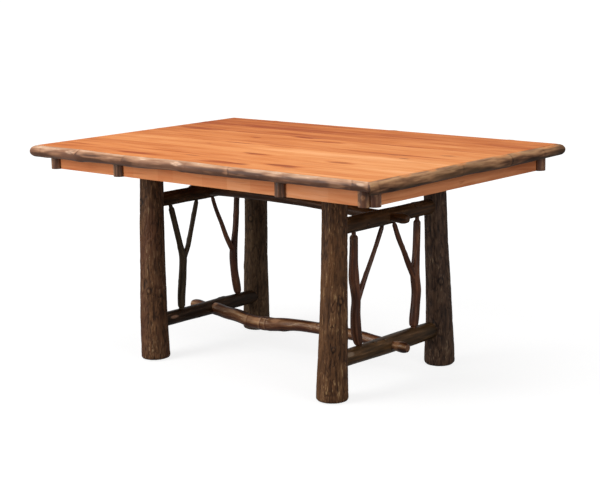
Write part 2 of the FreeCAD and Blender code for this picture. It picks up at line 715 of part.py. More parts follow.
def make_stretcher(level):
    """A natural limb from trestle to trestle, drawn in to tenons that pass through both rails."""
    body = new_body(f"stretcher_{level}")
    tenon = f"{level}_stretcher_tenon_radius"
    radius = f"{level}_stretcher_radius"
    left = f"{level}_rail_height_left"
    right = f"{level}_rail_height_right"
    stubs = {side: f"{level}_stretcher_stub" for side in sides}
    if level == "lower":
        stubs = {side: f"lower_stretcher_stub_{side}" for side in sides}
    first, last = stretcher_shares[level][0], stretcher_shares[level][-1]
    stations = []
    for side, edge in (("left", first), ("right", last)):
        sign = sides[side]
        inner = f"(trestle_spacing / 2 - {level}_rail_radius_{side} * {clear_of_rail})"
        outer = f"(trestle_spacing / 2 + {level}_rail_radius_{side} * {clear_of_rail})"
        tip = f"({outer} + {stubs[side]})"
        height = f"{level}_rail_height_{side}"
        group = [
            (f"{sign} * {tip}", "0", height, f"{tenon} * {stub_taper} - stub_round"),
            (f"{sign} * ({tip} - stub_round)", "0", height, f"{tenon} * {stub_taper}"),
            (f"{sign} * {outer}", "0", height, tenon),
            (f"{sign} * {inner}", "0", height, tenon),
            (f"{sign} * ({inner} - stretcher_shoulder)", "0", height, f"{edge[3]} * {radius}"),
        ]
        stations.append(group)
    middle = []
    for place_share, side_drift, rise, radius_share in stretcher_shares[level]:
        straight = f"({left} + ({right} - {left}) * ({place_share} + 0.5))"
        middle.append(
            (
                f"{place_share} * trestle_spacing",
                f"{side_drift} * {radius}",
                f"{straight} + {rise} * {radius}",
                f"{radius_share} * {radius}",
            )
        )
    sections = []
    for number, (run, across, height, girth) in enumerate(stations[0] + middle + stations[1][::-1], start=1):
        section = new_sketch(body, f"section_{number}", "YZ_Plane", right=across, up=height, out=run)
        add_round(section, girth, limb_sides)
        sections.append(section)
    loft(body, sections, "limb")


def make_group(name, solids):
    """Loose copies of one fastener, kept as separate solids."""
    group = document.addObject("Part::Feature", name)
    group.Label = name
    group.Shape = Part.makeCompound(solids)


def make_fasteners():
    """Dowel pins across every leg joint, and the screws from the cleats up into the boards."""
    across = FreeCAD.Vector(-1, 0, 0)
    leg_pins = []
    rail_pins = []
    for side, side_sign in sides.items():
        trestle = side_sign * size["trestle_spacing"] / 2
        for end, end_sign in ends.items():
            corner = f"{end}_{side}"
            depth = size[f"leg_top_x_{corner}"] + size["leg_tenon_radius"] + size["pin_bite"]
            length = depth + size["cleat_width"] / 2
            height = size["leg_height"] + size["leg_tenon_length"] / 2
            start = FreeCAD.Vector(trestle + depth, size[f"leg_top_y_{corner}"], height)
            leg_pins.append(peg(size["pin_radius"], length, start, across, pin_sides))
            for level in levels:
                height = size[f"{level}_rail_height_{side}"]
                depth = size["rail_tenon_radius"] + size["pin_bite"]
                deep = end_sign * (size[f"{level}_rail_reach_{side}"] - size["pin_setback"])
                log_radius, _, _ = leg_at(corner, height)
                off_middle = deep - size[f"{level}_leg_y_{corner}"]
                to_bark = math.sqrt(log_radius**2 - off_middle**2) - size[f"{level}_leg_x_{corner}"]
                start = FreeCAD.Vector(trestle + depth, deep, height)
                rail_pins.append(peg(size["pin_radius"], depth + to_bark, start, across, pin_sides))
    make_group("leg_pins", leg_pins)
    make_group("rail_pins", rail_pins)
    screws = []
    foot = FreeCAD.Vector()
    upward = FreeCAD.Vector(0, 0, 1)
    shank_length = size["cleat_thickness"] + size["screw_bite"]
    head = peg(size["screw_head_radius"], size["screw_head_height"], foot, upward, screw_sides)
    shank = peg(size["screw_radius"], shank_length, foot, upward, screw_sides)
    screw = head.fuse(shank).removeSplitter()
    for trestle in (-1, 0, 1):
        for number in range(1, len(board_edge_shares)):
            where = FreeCAD.Vector(
                trestle * size["trestle_spacing"] / 2 + size["screw_offset"],
                size[f"board_screw_{number}"],
                size["leg_height"],
            )
            screws.append(screw.translated(where))
    make_group("top_screws", screws)


def make_table():
    make_boards()
    long_run = "top_length"
    short_run = "top_width"
    make_trim("trim_front", front_trim_shares, long_run, "0", "-top_width / 2", 0)
    make_trim("trim_back", back_trim_shares, long_run, "0", "top_width / 2", 180)
    make_trim("trim_left", left_trim_shares, short_run, "-top_length / 2", "0", -90)
    make_trim("trim_right", right_trim_shares, short_run, "top_length / 2", "0", 90)
    make_apron("apron_front", "apron_length", "0", "-apron_width / 2", 0)
    make_apron("apron_back", "apron_length", "0", "apron_width / 2", 180)
    make_apron("apron_left", "apron_width", "-apron_length / 2", "0", -90)
    make_apron("apron_right", "apron_width", "apron_length / 2", "0", 90)
    make_posts()
    make_corner_blocks()
    for name, trestle in (("cleat_left", -1), ("cleat_middle", 0), ("cleat_right", 1)):
        make_cleat(name, trestle)
    for side in sides:
        for end in ends:
            make_leg(end, side)
            make_twig(end, side)
        for level in levels:
            make_rail(level, side)
    for level in levels:
        make_stretcher(level)
    make_fasteners()


def sub_parts():
    """The finished pieces: every body, and every shape that stands alone."""
    return [thing for thing in document.Objects if thing.TypeId in ("PartDesign::Body", "Part::Feature")]


def check_model():
    """Stop if anything failed, if a cut removed nothing, or if a sub-part is not sound."""
    for thing in document.Objects:
        if "Invalid" in thing.State or "Error" in thing.State:
            raise RuntimeError(f"{thing.Label} failed: {thing.State}")
        if thing.TypeId == "PartDesign::Pocket" and thing.Shape.Volume >= thing.BaseFeature.Shape.Volume:
            raise RuntimeError(f"{thing.Label} cuts nothing")
    for piece in sub_parts():
        if piece.Shape.isNull() or not piece.Shape.isValid() or not piece.Shape.Solids:
            raise RuntimeError(f"{piece.Label} is not a sound solid")


work_out_sizes()
fill_sheet()
make_table()
document.recompute()
check_model()
os.makedirs("parts", exist_ok=True)
for piece in sub_parts():
    piece.Shape.exportStep(f"parts/{piece.Label}.step")
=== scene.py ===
import math

import bmesh
import bpy
import numpy as np
from mathutils import Matrix, Vector


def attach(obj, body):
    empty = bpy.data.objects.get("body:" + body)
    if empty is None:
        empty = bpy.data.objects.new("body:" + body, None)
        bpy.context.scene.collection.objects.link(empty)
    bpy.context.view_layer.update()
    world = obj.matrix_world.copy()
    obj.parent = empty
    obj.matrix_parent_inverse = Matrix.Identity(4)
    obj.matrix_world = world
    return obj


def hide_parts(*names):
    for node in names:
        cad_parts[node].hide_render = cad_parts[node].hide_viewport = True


# The looks of the rustic hickory table. Metres, +Z up, +X along the table, the origin on the floor
# under the middle of the top.

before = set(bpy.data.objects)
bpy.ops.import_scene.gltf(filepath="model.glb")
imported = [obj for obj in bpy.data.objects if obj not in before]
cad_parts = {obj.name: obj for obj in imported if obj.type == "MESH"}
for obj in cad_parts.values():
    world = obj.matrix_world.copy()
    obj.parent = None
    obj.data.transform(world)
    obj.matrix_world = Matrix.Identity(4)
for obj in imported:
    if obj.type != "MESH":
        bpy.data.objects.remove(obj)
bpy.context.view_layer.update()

MM = 0.001
sides = {"left": -1, "right": 1}
ends = {"front": -1, "back": 1}

# Sizes in millimetres, as the part has them
top_height, top_length, top_width, top_thickness = 762, 1504, 980, 28
trim_radius, trim_drop = 19.5, 4
apron_length, apron_width, apron_depth, apron_thickness = 1440, 900, 56, 20
post_radius, middle_post_spacing = 20, 740
trestle_spacing, foot_spacing, leg_top_spacing, leg_height = 830, 560, 514, 702
foot_radius, foot_round = 50, 12
rail_height = {"upper_left": 563, "upper_right": 555, "lower_left": 131, "lower_right": 125}
rail_radius = {"upper_left": 24.5, "upper_right": 26, "lower_left": 25, "lower_right": 29}
stretcher_radius = {"upper": 17, "lower": 20}
stretcher_tenon = {"upper": 13, "lower": 15.5}
stubs = {"upper": (64, 64), "lower": (70, 55)}
twig_radius, twig_foot_tenon, twig_tip_tenon, branch_tenon = 14, 9, 6.5, 5
twig_foot_neck, twig_tip_neck, twig_shoulder, twig_seat = 2, 9, 8, 10

# How far from a leg's axis its rails end and their pins stand, how far left of the trestle's line and above
# the leg a leg's pin starts, and how far right of a cleat's middle its screws stand
rail_end, rail_pin, leg_pin_start, leg_pin_rise, screw_offset = 20, 15, 54.5, 11, 36

# A stretcher's end: how deep its tip is chamfered; how far within the rail's inner face its tenon ends,
# its shoulder is half up, then at its top, and its full girth starts; and how far beyond the face it bends
tip_bevel, tenon_end, shoulder_middle, shoulder_top, girth_start, bend_start = 3, 13, 10, 7, 2, 20

# The gap between each end of a cleat and the apron
cleat_end_gap = 2

# How far the edges of boards and aprons are softened
board_edge, apron_edge = 0.35, 0.8

# Fineness of the skins: mm from one ring of corners to the next, corners round a ring, and for the twigs'
# joined skin the size of its squares
leg_step, leg_around = 3, 160
rail_step, rail_around = 2.6, 80
stretcher_step, stretcher_around = 2.2, 72
twig_step, stem_around, branch_around, twig_skin = 3, 30, 22, 1.6
split_step, trim_around, post_around = 2.5, 30, 26

# Where the count of each kind of piece's bark patterns starts, so that no two pieces' bark is alike
bark_seeds = {"trim": 40, "post": 60, "leg": 100, "twig": 200, "rail": 300, "upper": 320, "lower": 330}

# Where the boards meet, from the front edge, over the top's width
board_edge_shares = (0, 0.128, 0.268, 0.428, 0.538, 0.665, 0.79, 0.898, 1)

# Place along the trim, radius over the trim's own, and how far the sapling wanders up or down, in mm
trim_shares = {
    "front": (
        (-1, 0.97, 0), (-0.78, 0.95, 0.6), (-0.69, 1, 1.2), (-0.62, 0.93, 0.6), (-0.38, 0.86, -0.8),
        (-0.32, 0.88, -0.6), (-0.05, 0.8, 0.8), (0.02, 0.84, 1), (0.25, 0.79, -0.4), (0.5, 0.76, 0.5),
        (0.71, 0.74, 0), (0.88, 0.7, 0.6), (1, 0.68, 0),
    ),
    "back": (
        (-1, 0.84, 0), (-0.7, 0.9, 0.5), (-0.4, 0.96, -0.4), (-0.12, 1, 0.6), (0.1, 0.93, 0),
        (0.45, 0.9, -0.5), (0.8, 0.96, 0.4), (1, 0.98, 0),
    ),
    "left": (
        (-1, 0.95, 0), (-0.6, 0.98, 0.5), (-0.25, 1, -0.4), (0.1, 0.94, 0.4), (0.5, 0.96, 0), (1, 0.97, 0),
    ),
    "right": (
        (-1, 0.94, 0), (-0.8, 0.99, 0.5), (-0.4, 0.95, -0.5), (0, 0.93, 0.3), (0.3, 1, 0.8), (0.6, 0.95, 0),
        (1, 0.9, 0),
    ),
}

# Joints where side shoots grew: place along the trim from its middle in mm, how far the sapling swells
# there in mm, and how dark the crease is
trim_rings = {
    "front": (
        (-700, 0.8, 0.2), (-510, 1.8, 0.8), (-280, 0.8, 0.15), (-20, 1.6, 0.1), (12, 0.6, 0.25),
        (196, 0.6, 0.45), (420, 0.5, 0.1), (560, 0.6, 0.15), (686, 0.9, 0.6), (748, 0.9, 0.8),
    ),
    "back": ((-560, 1.2, 0.6), (-300, 0.6, 0.3), (-60, 1.3, 0.7), (240, 0.8, 0.4), (520, 1.2, 0.7)),
    "left": ((-330, 0.9, 0.4), (-90, 1.3, 0.6), (210, 1, 0.5)),
    "right": ((-452, 0.6, 0.15), (-380, 0.5, 0.05), (-60, 0.8, 0.3), (190, 0.9, 0.4), (370, 0.4, 0.2)),
}

# Scars of cut shoots: place along in mm, turn down from the top, length in mm, how pale, how dark the cross
trim_scars = {
    "front": (
        (-545, 1.0, 34, 0.7, 0.5), (-30, 1.1, 36, 1.0, 0.45), (-655, 0.9, 40, 0.3, 0),
        (300, 0.8, 60, 0.4, 0), (480, 0.9, 70, 0.35, 0), (716, 1.1, 22, 0.8, 0),
    ),
    "back": ((-58, 1.1, 20, 0.6, 0.6), (245, 1.0, 18, 0.5, 0.4)),
    "left": ((-88, 1.1, 18, 0.6, 0.5), (120, 0.8, 40, 0.4, 0)),
    "right": (
        (-330, 0.3, 34, 1.0, 0), (-200, 0.25, 26, 1.0, 0), (-58, 0.3, 30, 0.8, 0), (150, 0.3, 46, 0.9, 0),
        (235, 0.4, 20, 0.6, 0), (420, 0.4, 54, 1.0, 0),
    ),
}

# Heights up the logs over the leg's own; at each of them a log's radius over the foot's, and how far its
# middle wanders, over the foot's radius: to the leg's right, and towards the trestle's other leg
leg_heights = (0, 0.1, 0.24, 0.38, 0.52, 0.68, 0.84, 1)
straight = (0,) * len(leg_heights)
leg_forms = {
    "front_left": (
        (1, 0.965, 0.93, 0.89, 0.858, 0.84, 0.803, 0.785),
        (-0.02, -0.08, -0.165, -0.18, -0.185, -0.195, -0.17, -0.16), straight,
    ),
    "back_left": (
        (1, 0.96, 0.915, 0.868, 0.838, 0.825, 0.8, 0.775),
        (0.28, 0.26, 0.23, 0.2, 0.176, 0.144, 0.11, 0.08), (0.56, 0.5, 0.41, 0.33, 0.2, 0.09, 0.02, -0.03),
    ),
    "front_right": (
        (1.03, 0.975, 0.92, 0.875, 0.835, 0.803, 0.787, 0.77),
        (-0.045, -0.04, 0.01, 0.045, 0.06, 0.085, 0.085, 0.08), straight,
    ),
    "back_right": (
        (1.03, 0.99, 0.89, 0.838, 0.795, 0.765, 0.75, 0.74),
        (-0.05, -0.09, -0.135, -0.135, -0.09, -0.055, -0.05, -0.05), straight,
    ),
}

# Place along the rail, from leg to leg, and radius
rail_shares = {
    "upper_left": ((-1, 1), (-0.6, 1), (-0.2, 1.02), (0.15, 1), (0.55, 0.96), (1, 0.98)),
    "lower_left": ((-1, 1), (-0.55, 0.97), (-0.1, 1), (0.3, 1.03), (0.7, 1), (1, 0.96)),
    "upper_right": ((-1, 0.97), (-0.5, 1.02), (-0.1, 1.03), (0.25, 0.98), (0.7, 0.96), (1, 0.97)),
    "lower_right": ((-1, 0.89), (-0.7, 0.92), (-0.2, 0.99), (0.2, 1.03), (0.6, 1.02), (1, 1)),
}

# Place along the stretcher over the trestle spacing, then side and height drift and radius over its own
stretcher_shares = {
    "upper": (
        (-0.4, 0.1, 0.35, 0.97), (-0.25, 0.2, 0.6, 1.02), (-0.05, 0.1, 0.7, 1), (0.15, -0.1, 0.6, 0.98),
        (0.3, -0.15, 0.35, 1), (0.4, -0.1, 0.15, 1.03),
    ),
    "lower": (
        (-0.407, 0, -0.38, 1.11), (-0.33, -0.05, -0.52, 1.12), (-0.26, -0.1, -0.88, 1.13),
        (-0.188, -0.15, -0.89, 1.16), (-0.12, -0.2, -0.69, 1.15), (-0.06, -0.18, -0.31, 1.1),
        (0.02, -0.1, 0.06, 1), (0.123, 0, 0.26, 0.99), (0.253, 0.1, 0.35, 0.96), (0.38, 0.05, 0.33, 0.94),
    ),
}

# A forked twig in its trestle's plane: side place over the space from the trestle's middle to its legs,
# height from the lower rail's top to the upper rail's underside, and radius over the twig's own
twig_shares = {
    "front_left": {
        "stem": (
            (-0.537, 0, 0.9), (-0.534, 0.102, 0.99), (-0.506, 0.293, 1.01), (-0.494, 0.397, 0.95),
            (-0.487, 0.468, 0.99), (-0.535, 0.601, 0.77), (-0.579, 0.712, 0.74), (-0.698, 1, 0.71),
        ),
        "branch": (
            (-0.477, 0.46, 0.67), (-0.387, 0.591, 0.59), (-0.348, 0.677, 0.55), (-0.251, 0.897, 0.56),
            (-0.205, 1, 0.54),
        ),
    },
    "back_left": {
        "stem": (
            (0.515, 0, 0.9), (0.502, 0.063, 1.01), (0.465, 0.246, 0.96), (0.463, 0.408, 1.03),
            (0.5, 0.559, 0.84), (0.521, 0.633, 0.77), (0.585, 1, 0.68),
        ),
        "branch": (
            (0.449, 0.444, 0.67), (0.351, 0.57, 0.59), (0.254, 0.732, 0.51), (0.152, 0.889, 0.49),
            (0.096, 1, 0.45),
        ),
    },
    "front_right": {
        "stem": (
            (-0.529, 0, 0.96), (-0.564, 0.069, 1.14), (-0.595, 0.267, 1.15), (-0.585, 0.421, 1.06),
            (-0.603, 0.509, 1.09), (-0.623, 0.603, 1.14), (-0.629, 0.688, 1.06), (-0.624, 0.885, 0.94),
            (-0.627, 1, 0.91),
        ),
        "branch": (
            (-0.562, 0.389, 0.68), (-0.462, 0.523, 0.61), (-0.396, 0.603, 0.55), (-0.234, 0.795, 0.48),
            (-0.073, 1, 0.47),
        ),
    },
    "back_right": {
        "stem": (
            (0.507, 0, 1), (0.52, 0.064, 1.13), (0.559, 0.229, 1.09), (0.576, 0.315, 1.09),
            (0.559, 0.483, 1.09), (0.586, 0.643, 0.89), (0.628, 1, 0.83),
        ),
        "branch": (
            (0.531, 0.464, 0.69), (0.419, 0.616, 0.64), (0.363, 0.693, 0.56), (0.231, 0.869, 0.55),
            (0.153, 1, 0.57),
        ),
    },
}

# Materials

soft = {"interpolation_type": "SMOOTHSTEP"}  # a range that starts and ends softly


def linear(colour):
    """An sRGB hex colour as the linear colour that a node takes."""
    parts = [int(colour[start:start + 2], 16) / 255 for start in (1, 3, 5)]
    return [part / 12.92 if part <= 0.04045 else ((part + 0.055) / 1.055) ** 2.4 for part in parts] + [1]


def add(tree, kind, inputs=(), stops=(), **settings):
    """One node with its settings, inputs and links.

    Inputs are given in their order or by name; each is a value, an output, or a node whose first output is
    linked. Stops are a colour ramp's places and hex colours."""
    made = tree.nodes.new(kind if "Node" in kind else "ShaderNode" + kind)
    for name, value in settings.items():
        setattr(made, name, value)
    for name, value in inputs.items() if isinstance(inputs, dict) else enumerate(inputs):
        if isinstance(value, bpy.types.Node):
            value = value.outputs[0]
        if isinstance(value, bpy.types.NodeSocket):
            tree.links.new(value, made.inputs[name])
        else:
            made.inputs[name].default_value = value
    for _ in stops[2:]:
        made.color_ramp.elements.new(0.5)
    for number, (place, colour) in enumerate(stops):
        made.color_ramp.elements[number].position = place
        made.color_ramp.elements[number].color = linear(colour)
    return made


def new_material(name):
    material = bpy.data.materials.new(name)
    material.use_nodes = True
    material.node_tree.nodes.clear()
    return material, material.node_tree


def weighted(tree, *terms):
    """The sum of values, each times its weight; a bare number is added as it is."""
    total = 0.0
    for term in terms:
        if isinstance(term, tuple):
            term = add(tree, "Math", term, operation="MULTIPLY")
        total = add(tree, "Math", (total, term), operation="ADD")
    return total


def figure(tree, place, size, detail, roughness=0.5, offset=(0, 0, 0)):
    """Uneven figure in wood or bark, its marks about so many mm long along each axis of the place."""
    scale = [1 / (part * MM) for part in size]
    vector = add(tree, "Mapping", {"Vector": place, "Scale": scale, "Location": offset})
    return add(tree, "TexNoise", {"Vector": vector, "Scale": 1, "Detail": detail, "Roughness": roughness})


def patch(tree, place, x, y, long, wide):
    """1 at a place on a board, in mm, fading to 0 at the rim of a long oval round it."""
    oval = add(tree, "Mapping", {
        "Vector": place, "Scale": (1 / (long * MM), 1 / (wide * MM), 0),
        "Location": (-x / long, -y / wide, 0),
    })
    apart = add(tree, "VectorMath", [oval], operation="LENGTH").outputs["Value"]
    return add(tree, "MapRange", (apart, 1, 0.25), **soft)


def finish_material(tree, colour, roughness, height, bump_mm, specular, coat=0.0):
    """A wood surface from its colour, roughness and height, under gloss varnish where it has a coat."""
    bump = add(tree, "Bump", {"Height": height, "Distance": bump_mm * MM})
    shader = add(tree, "BsdfPrincipled", {
        "Base Color": colour, "Roughness": roughness, "Normal": bump, "Specular IOR Level": specular,
        "Coat Weight": coat, "Coat Roughness": 0.16,
    })
    add(tree, "OutputMaterial", {"Surface": shader})


def planed_hickory(name, offset, stops, tone=0.5, slope=0.0, streaks=(), knots=(), staves=(), axes="XYZ"):
    """Planed hickory, stained amber and rubbed with satin varnish.

    The eye sees a warm, clear orange with a soft sheen. Broad bands of growth 60 mm wide carry streaks 12 mm
    wide and a fifth of a metre long, dark mineral lines 5 mm wide, and open pores. The pores are drawn 1 mm
    wide, because real ones of 0.3 mm wouldn't show. Streaks are (x, y, half length, half width, strength)
    and knots (x, y, half length, half width), in mm; a stave is (from, to, tone) along the board. axes are
    the table's own that run along the board, across its face and through it."""
    material, tree = new_material(name)
    own = add(tree, "SeparateXYZ", [add(tree, "TexCoord").outputs["Object"]]).outputs
    place = add(tree, "CombineXYZ", [own[axis] for axis in axes])

    def grain(at, long, wide, detail, roughness=0.5):
        return figure(tree, at, (long, wide, wide), detail, roughness, offset)

    # The grain wavers sideways by up to 50 mm, and marks on it have ragged rims
    waver = add(tree, "Math", (grain(place, 476.2, 142.86, 2), 0.05), operation="MULTIPLY")
    bent = add(tree, "VectorMath", (place, add(tree, "CombineXYZ", {"Y": waver})), operation="ADD")
    broad = grain(bent, 500, 62.5, 3, 0.55)
    fine = grain(bent, 217.4, 12.5, 4, 0.62)
    lines = grain(bent, 250, 5.263, 2)
    pores = grain(bent, 38.46, 1.1111, 2, 0.7)
    wander = grain(place, 90.91, 16.667, 4, 0.6)
    drift = [weighted(tree, (wander, 0.1), -0.05), weighted(tree, (wander, 0.03), -0.015)]
    loose = add(tree, "VectorMath", (place, add(tree, "CombineXYZ", drift)), operation="ADD")
    # The bands and streaks average 0.87, so tone is the board's own place on the ramp
    terms = [tone - 0.87, (broad, 0.85), (fine, 0.9), (own[axes[0]], slope)]
    for *oval, strength in streaks:
        terms.append((patch(tree, loose, *oval), strength * 1.35))
    for start, end, lift in staves:
        after = add(tree, "Math", (own[axes[0]], start * MM), operation="GREATER_THAN")
        before = add(tree, "Math", (own[axes[0]], end * MM), operation="LESS_THAN")
        terms.append((add(tree, "Math", (after, before), operation="MULTIPLY"), lift))
    colour = add(tree, "ValToRGB", [weighted(tree, *terms)], stops)
    dark_pores = add(tree, "MapRange", (pores, 0.64, 0.8, 0, 0.35), **soft)
    dark_lines = add(tree, "MapRange", (lines, 0.6, 0.76, 0, 0.5), **soft)
    dark = add(tree, "Math", (dark_pores, dark_lines), operation="MAXIMUM")
    colour = add(tree, "Mix", {0: dark, 6: colour, 7: linear(stops[0][1])}, data_type="RGBA").outputs[2]
    veins = add(tree, "MapRange", (grain(place, 142.86, 6.667, 3, 0.6), 0.44, 0.6, 0.12, 0.95), **soft)
    for x, y, long, wide in knots:
        core = patch(tree, loose, x, y, long * 1.7, wide * 1.4)
        core = add(tree, "Math", (core, veins), operation="MULTIPLY")
        colour = add(tree, "Mix", {0: core, 6: colour, 7: linear("#7A3A14")}, data_type="RGBA").outputs[2]
    roughness = add(tree, "MapRange", (fine, 0.3, 0.7, 0.58, 0.48), **soft)
    finish_material(tree, colour, roughness, weighted(tree, pores, fine), 0.1, 0.14)
    return material


def bark(name, stops, fleck, bare, bump_mm=0.5, gloss=(0.6, 0.45), specular=0.25, coat=0.0,
         fibre=(6.25, 71.43), blotch=0.35, blotch_mm=41.67, warm=None):
    """Bark left on the wood under thin varnish.

    Its colour follows the ridges of the mesh and fibres so wide and long in mm, which are drawn coarser than
    the real 1 to 2 mm, or they wouldn't show. Blotches shift it, and pale flecks on its crests are partly bark
    rubbed through and partly painted highlights. Where the attribute bare is 1 the wood shows, with its own
    rings 3 mm wide. gloss is its roughness from the fibres' hollows to their crests."""
    material, tree = new_material(name)
    place = add(tree, "Attribute", attribute_name="grain").outputs["Vector"]
    relief = add(tree, "Attribute", attribute_name="relief").outputs["Fac"]
    cut = add(tree, "Attribute", attribute_name="bare").outputs["Fac"]
    wide, long = fibre
    broad = figure(tree, place, (blotch_mm, blotch_mm, 111.11), 3, 0.55)
    fibres = figure(tree, place, (wide, wide, long), 4, 0.65)
    specks = figure(tree, place, (wide / 1.6, wide / 1.6, long / 2.6), 3, 0.6, (3, 1, 2))
    # Plain bark, with relief and figure at their average, lies at a third of the ramp
    tone = weighted(tree, (relief, 0.62), (fibres, 0.55), (broad, blotch), -0.27 - blotch / 2)
    colour = add(tree, "ValToRGB", [tone], stops)
    if warm:
        hue = figure(tree, place, (55.56, 55.56, 166.7), 2, 0.5, (5, 2, 8))
        hue = add(tree, "MapRange", (hue, 0.42, 0.66, 0, 0.45), **soft)
        colour = add(tree, "Mix", {0: hue, 6: colour, 7: linear(warm)}, data_type="RGBA").outputs[2]
    # Pale flecks on the crests: partly rubbed-through bark, partly painted highlights
    worn = add(tree, "MapRange", (specks, 0.52, 0.66, 0, 0.8), **soft)
    for value, low, high in ((broad, 0.4, 0.6), (tone, 0.3, 0.6)):
        share = add(tree, "MapRange", (value, low, high), **soft)
        worn = add(tree, "Math", (worn, share), operation="MULTIPLY")
    colour = add(tree, "Mix", {0: worn, 6: colour, 7: linear(fleck)}, data_type="RGBA").outputs[2]
    rings = figure(tree, place, (3.125, 3.125, 33.33), 3, 0.6)
    wood = add(tree, "ValToRGB", [rings], ((0.3, bare[0]), (0.7, bare[1])))
    colour = add(tree, "Mix", {0: cut, 6: colour, 7: wood}, data_type="RGBA").outputs[2]
    roughness = add(tree, "MapRange", (fibres, 0.35, 0.65, *gloss), **soft)
    finish_material(tree, colour, roughness, weighted(tree, fibres, (specks, 0.6)), bump_mm, specular, coat)
    return material


# Top boards: amber stain under satin varnish, a warm honey orange that is palest along the fourth seam
# and deepens towards the back and the left end; brown mineral marks lie in the front boards. For each
# board: tone, how it deepens along the table, streaks, knots
amber = ((0.0, "#A04610"), (0.25, "#C26A2C"), (0.5, "#D98343"), (0.75, "#E69656"), (1.0, "#F2AA70"))
board_looks = (
    (0.5, 0.22, (
        (-300, -440, 130, 26, -0.3), (120, -438, 150, 30, -0.36), (330, -395, 110, 32, -0.36),
        (560, -470, 220, 16, 0.12),
    ), ((-90, -372, 24, 10), (190, -440, 30, 14), (300, -392, 34, 14), (365, -412, 24, 13))),
    (0.54, 0.26, (
        (-250, -345, 300, 14, -0.14), (620, -300, 200, 30, 0.14), (70, -242, 90, 22, -0.4),
        (440, -250, 80, 26, -0.34),
    ), ((40, -236, 26, 9), (430, -244, 26, 11))),
    (0.66, 0.24, (
        (480, -106, 170, 18, 0.35), (150, -130, 330, 40, 0.16), (-520, -120, 230, 30, 0.1),
        (-260, -130, 26, 9, -0.3),
    ), ()),
    (0.46, 0.16, (
        (430, -8, 380, 17, -0.26), (-180, -66, 110, 11, -0.5), (0, -68, 110, 6, -0.3),
    ), ((482, -14, 22, 9), (545, -66, 20, 9))),
    (0.46, 0.2, (
        (70, 112, 110, 24, -0.26), (-240, 75, 30, 14, -0.3), (-600, 150, 150, 20, -0.3),
        (-80, 155, 80, 12, -0.45), (430, 158, 340, 8, -0.25),
    ), ((632, 60, 18, 10),)),
    (0.32, 0.14, (
        (-600, 172, 160, 20, -0.28), (-80, 171, 90, 13, -0.5), (430, 167, 340, 8, -0.3),
        (-300, 168, 180, 7, -0.2), (420, 240, 300, 30, 0.14),
    ), ()),
    (0.2, 0.14, ((-450, 320, 250, 26, -0.14), (250, 350, 200, 20, -0.1)), ((335, 332, 12, 5),)),
    (0.27, 0.12, ((-150, 460, 260, 18, -0.14), (640, 440, 120, 30, 0.1)), ()),
)
board_woods = [
    planed_hickory(f"satin_hickory_board_{number}", (number * 3.7, number * 1.9, number * 0.7), amber, *looks)
    for number, looks in enumerate(board_looks, 1)
]
# Aprons: the same varnish on redder wood. The long ones are glued up from short lengths, each its own
# shade of salmon; the end ones are one board each, in the trim's shade
apron_amber = ((0.0, "#86401C"), (0.25, "#A65D36"), (0.5, "#BD744A"), (0.75, "#CC8558"), (1.0, "#DA9A6E"))
apron_salmon = ((0.0, "#A25429"), (0.25, "#C26C3E"), (0.5, "#D88452"), (0.75, "#E49662"), (1.0, "#EEA87A"))
apron_wood = planed_hickory(
    "satin_hickory_apron", (9, 4, 2), apron_salmon, tone=0.52, axes="XZY",
    staves=((-720, -300, 0.1), (-300, -180, 0.18), (-180, -108, 0.04), (-108, 27, 0.12), (27, 139, 0.02),
            (139, 240, 0.2), (240, 350, 0.06), (350, 560, 0.2), (560, 720, 0.12)),
)
end_apron_wood = planed_hickory(
    "satin_hickory_end_apron", (5, 8, 1), apron_amber, tone=0.62, slope=-0.3,
    knots=((-7, 696, 10, 6),), axes="YZX",
)
# Hidden wood: planed poplar and birch dowel, pale and dry, with no stain or varnish
poplar = ((0, "#A98458"), (0.4, "#BE9A6B"), (1, "#CDAE82"))
birch = ((0, "#B8925E"), (0.5, "#CDAA76"), (1, "#DCBD8C"))
cleat_wood = planed_hickory("planed_poplar", (2, 2, 6), poplar, axes="YXZ")
dowel_wood = planed_hickory("birch_dowel", (1, 7, 3), birch)

# Legs: furrowed trunk bark under a thin matt varnish, deep brown in the furrows, with tan flecks on the
# crests that are partly rubbed bark and partly painted highlights; the back legs stand in the top's shade,
# and their colours are painted darker and duller as painted shade
raw_cut = ("#7A4E30", "#A87448")
brown_furrows = ((0.0, "#22150C"), (0.25, "#462D1B"), (0.55, "#67462D"), (1.0, "#967350"))
shaded_dull_furrows = ((0.0, "#2A1F16"), (0.25, "#483627"), (0.55, "#634D38"), (1.0, "#826A50"))
shaded_dark_furrows = ((0.0, "#1E140F"), (0.25, "#38271D"), (0.55, "#553F30"), (1.0, "#7A624C"))
leg_barks = {
    corner: bark(f"furrowed_bark_{corner}", stops, fleck, raw_cut, 0.9, specular=specular, warm=warm)
    for corner, stops, fleck, specular, warm in (
        ("front_left", brown_furrows, "#9C8464", 0.16, "#5A3524"),
        ("front_right", brown_furrows, "#B8966A", 0.16, "#6A4628"),
        ("back_left", shaded_dull_furrows, "#806C50", 0.1, None),
        ("back_right", shaded_dark_furrows, "#8A765E", 0.18, None),
    )
}
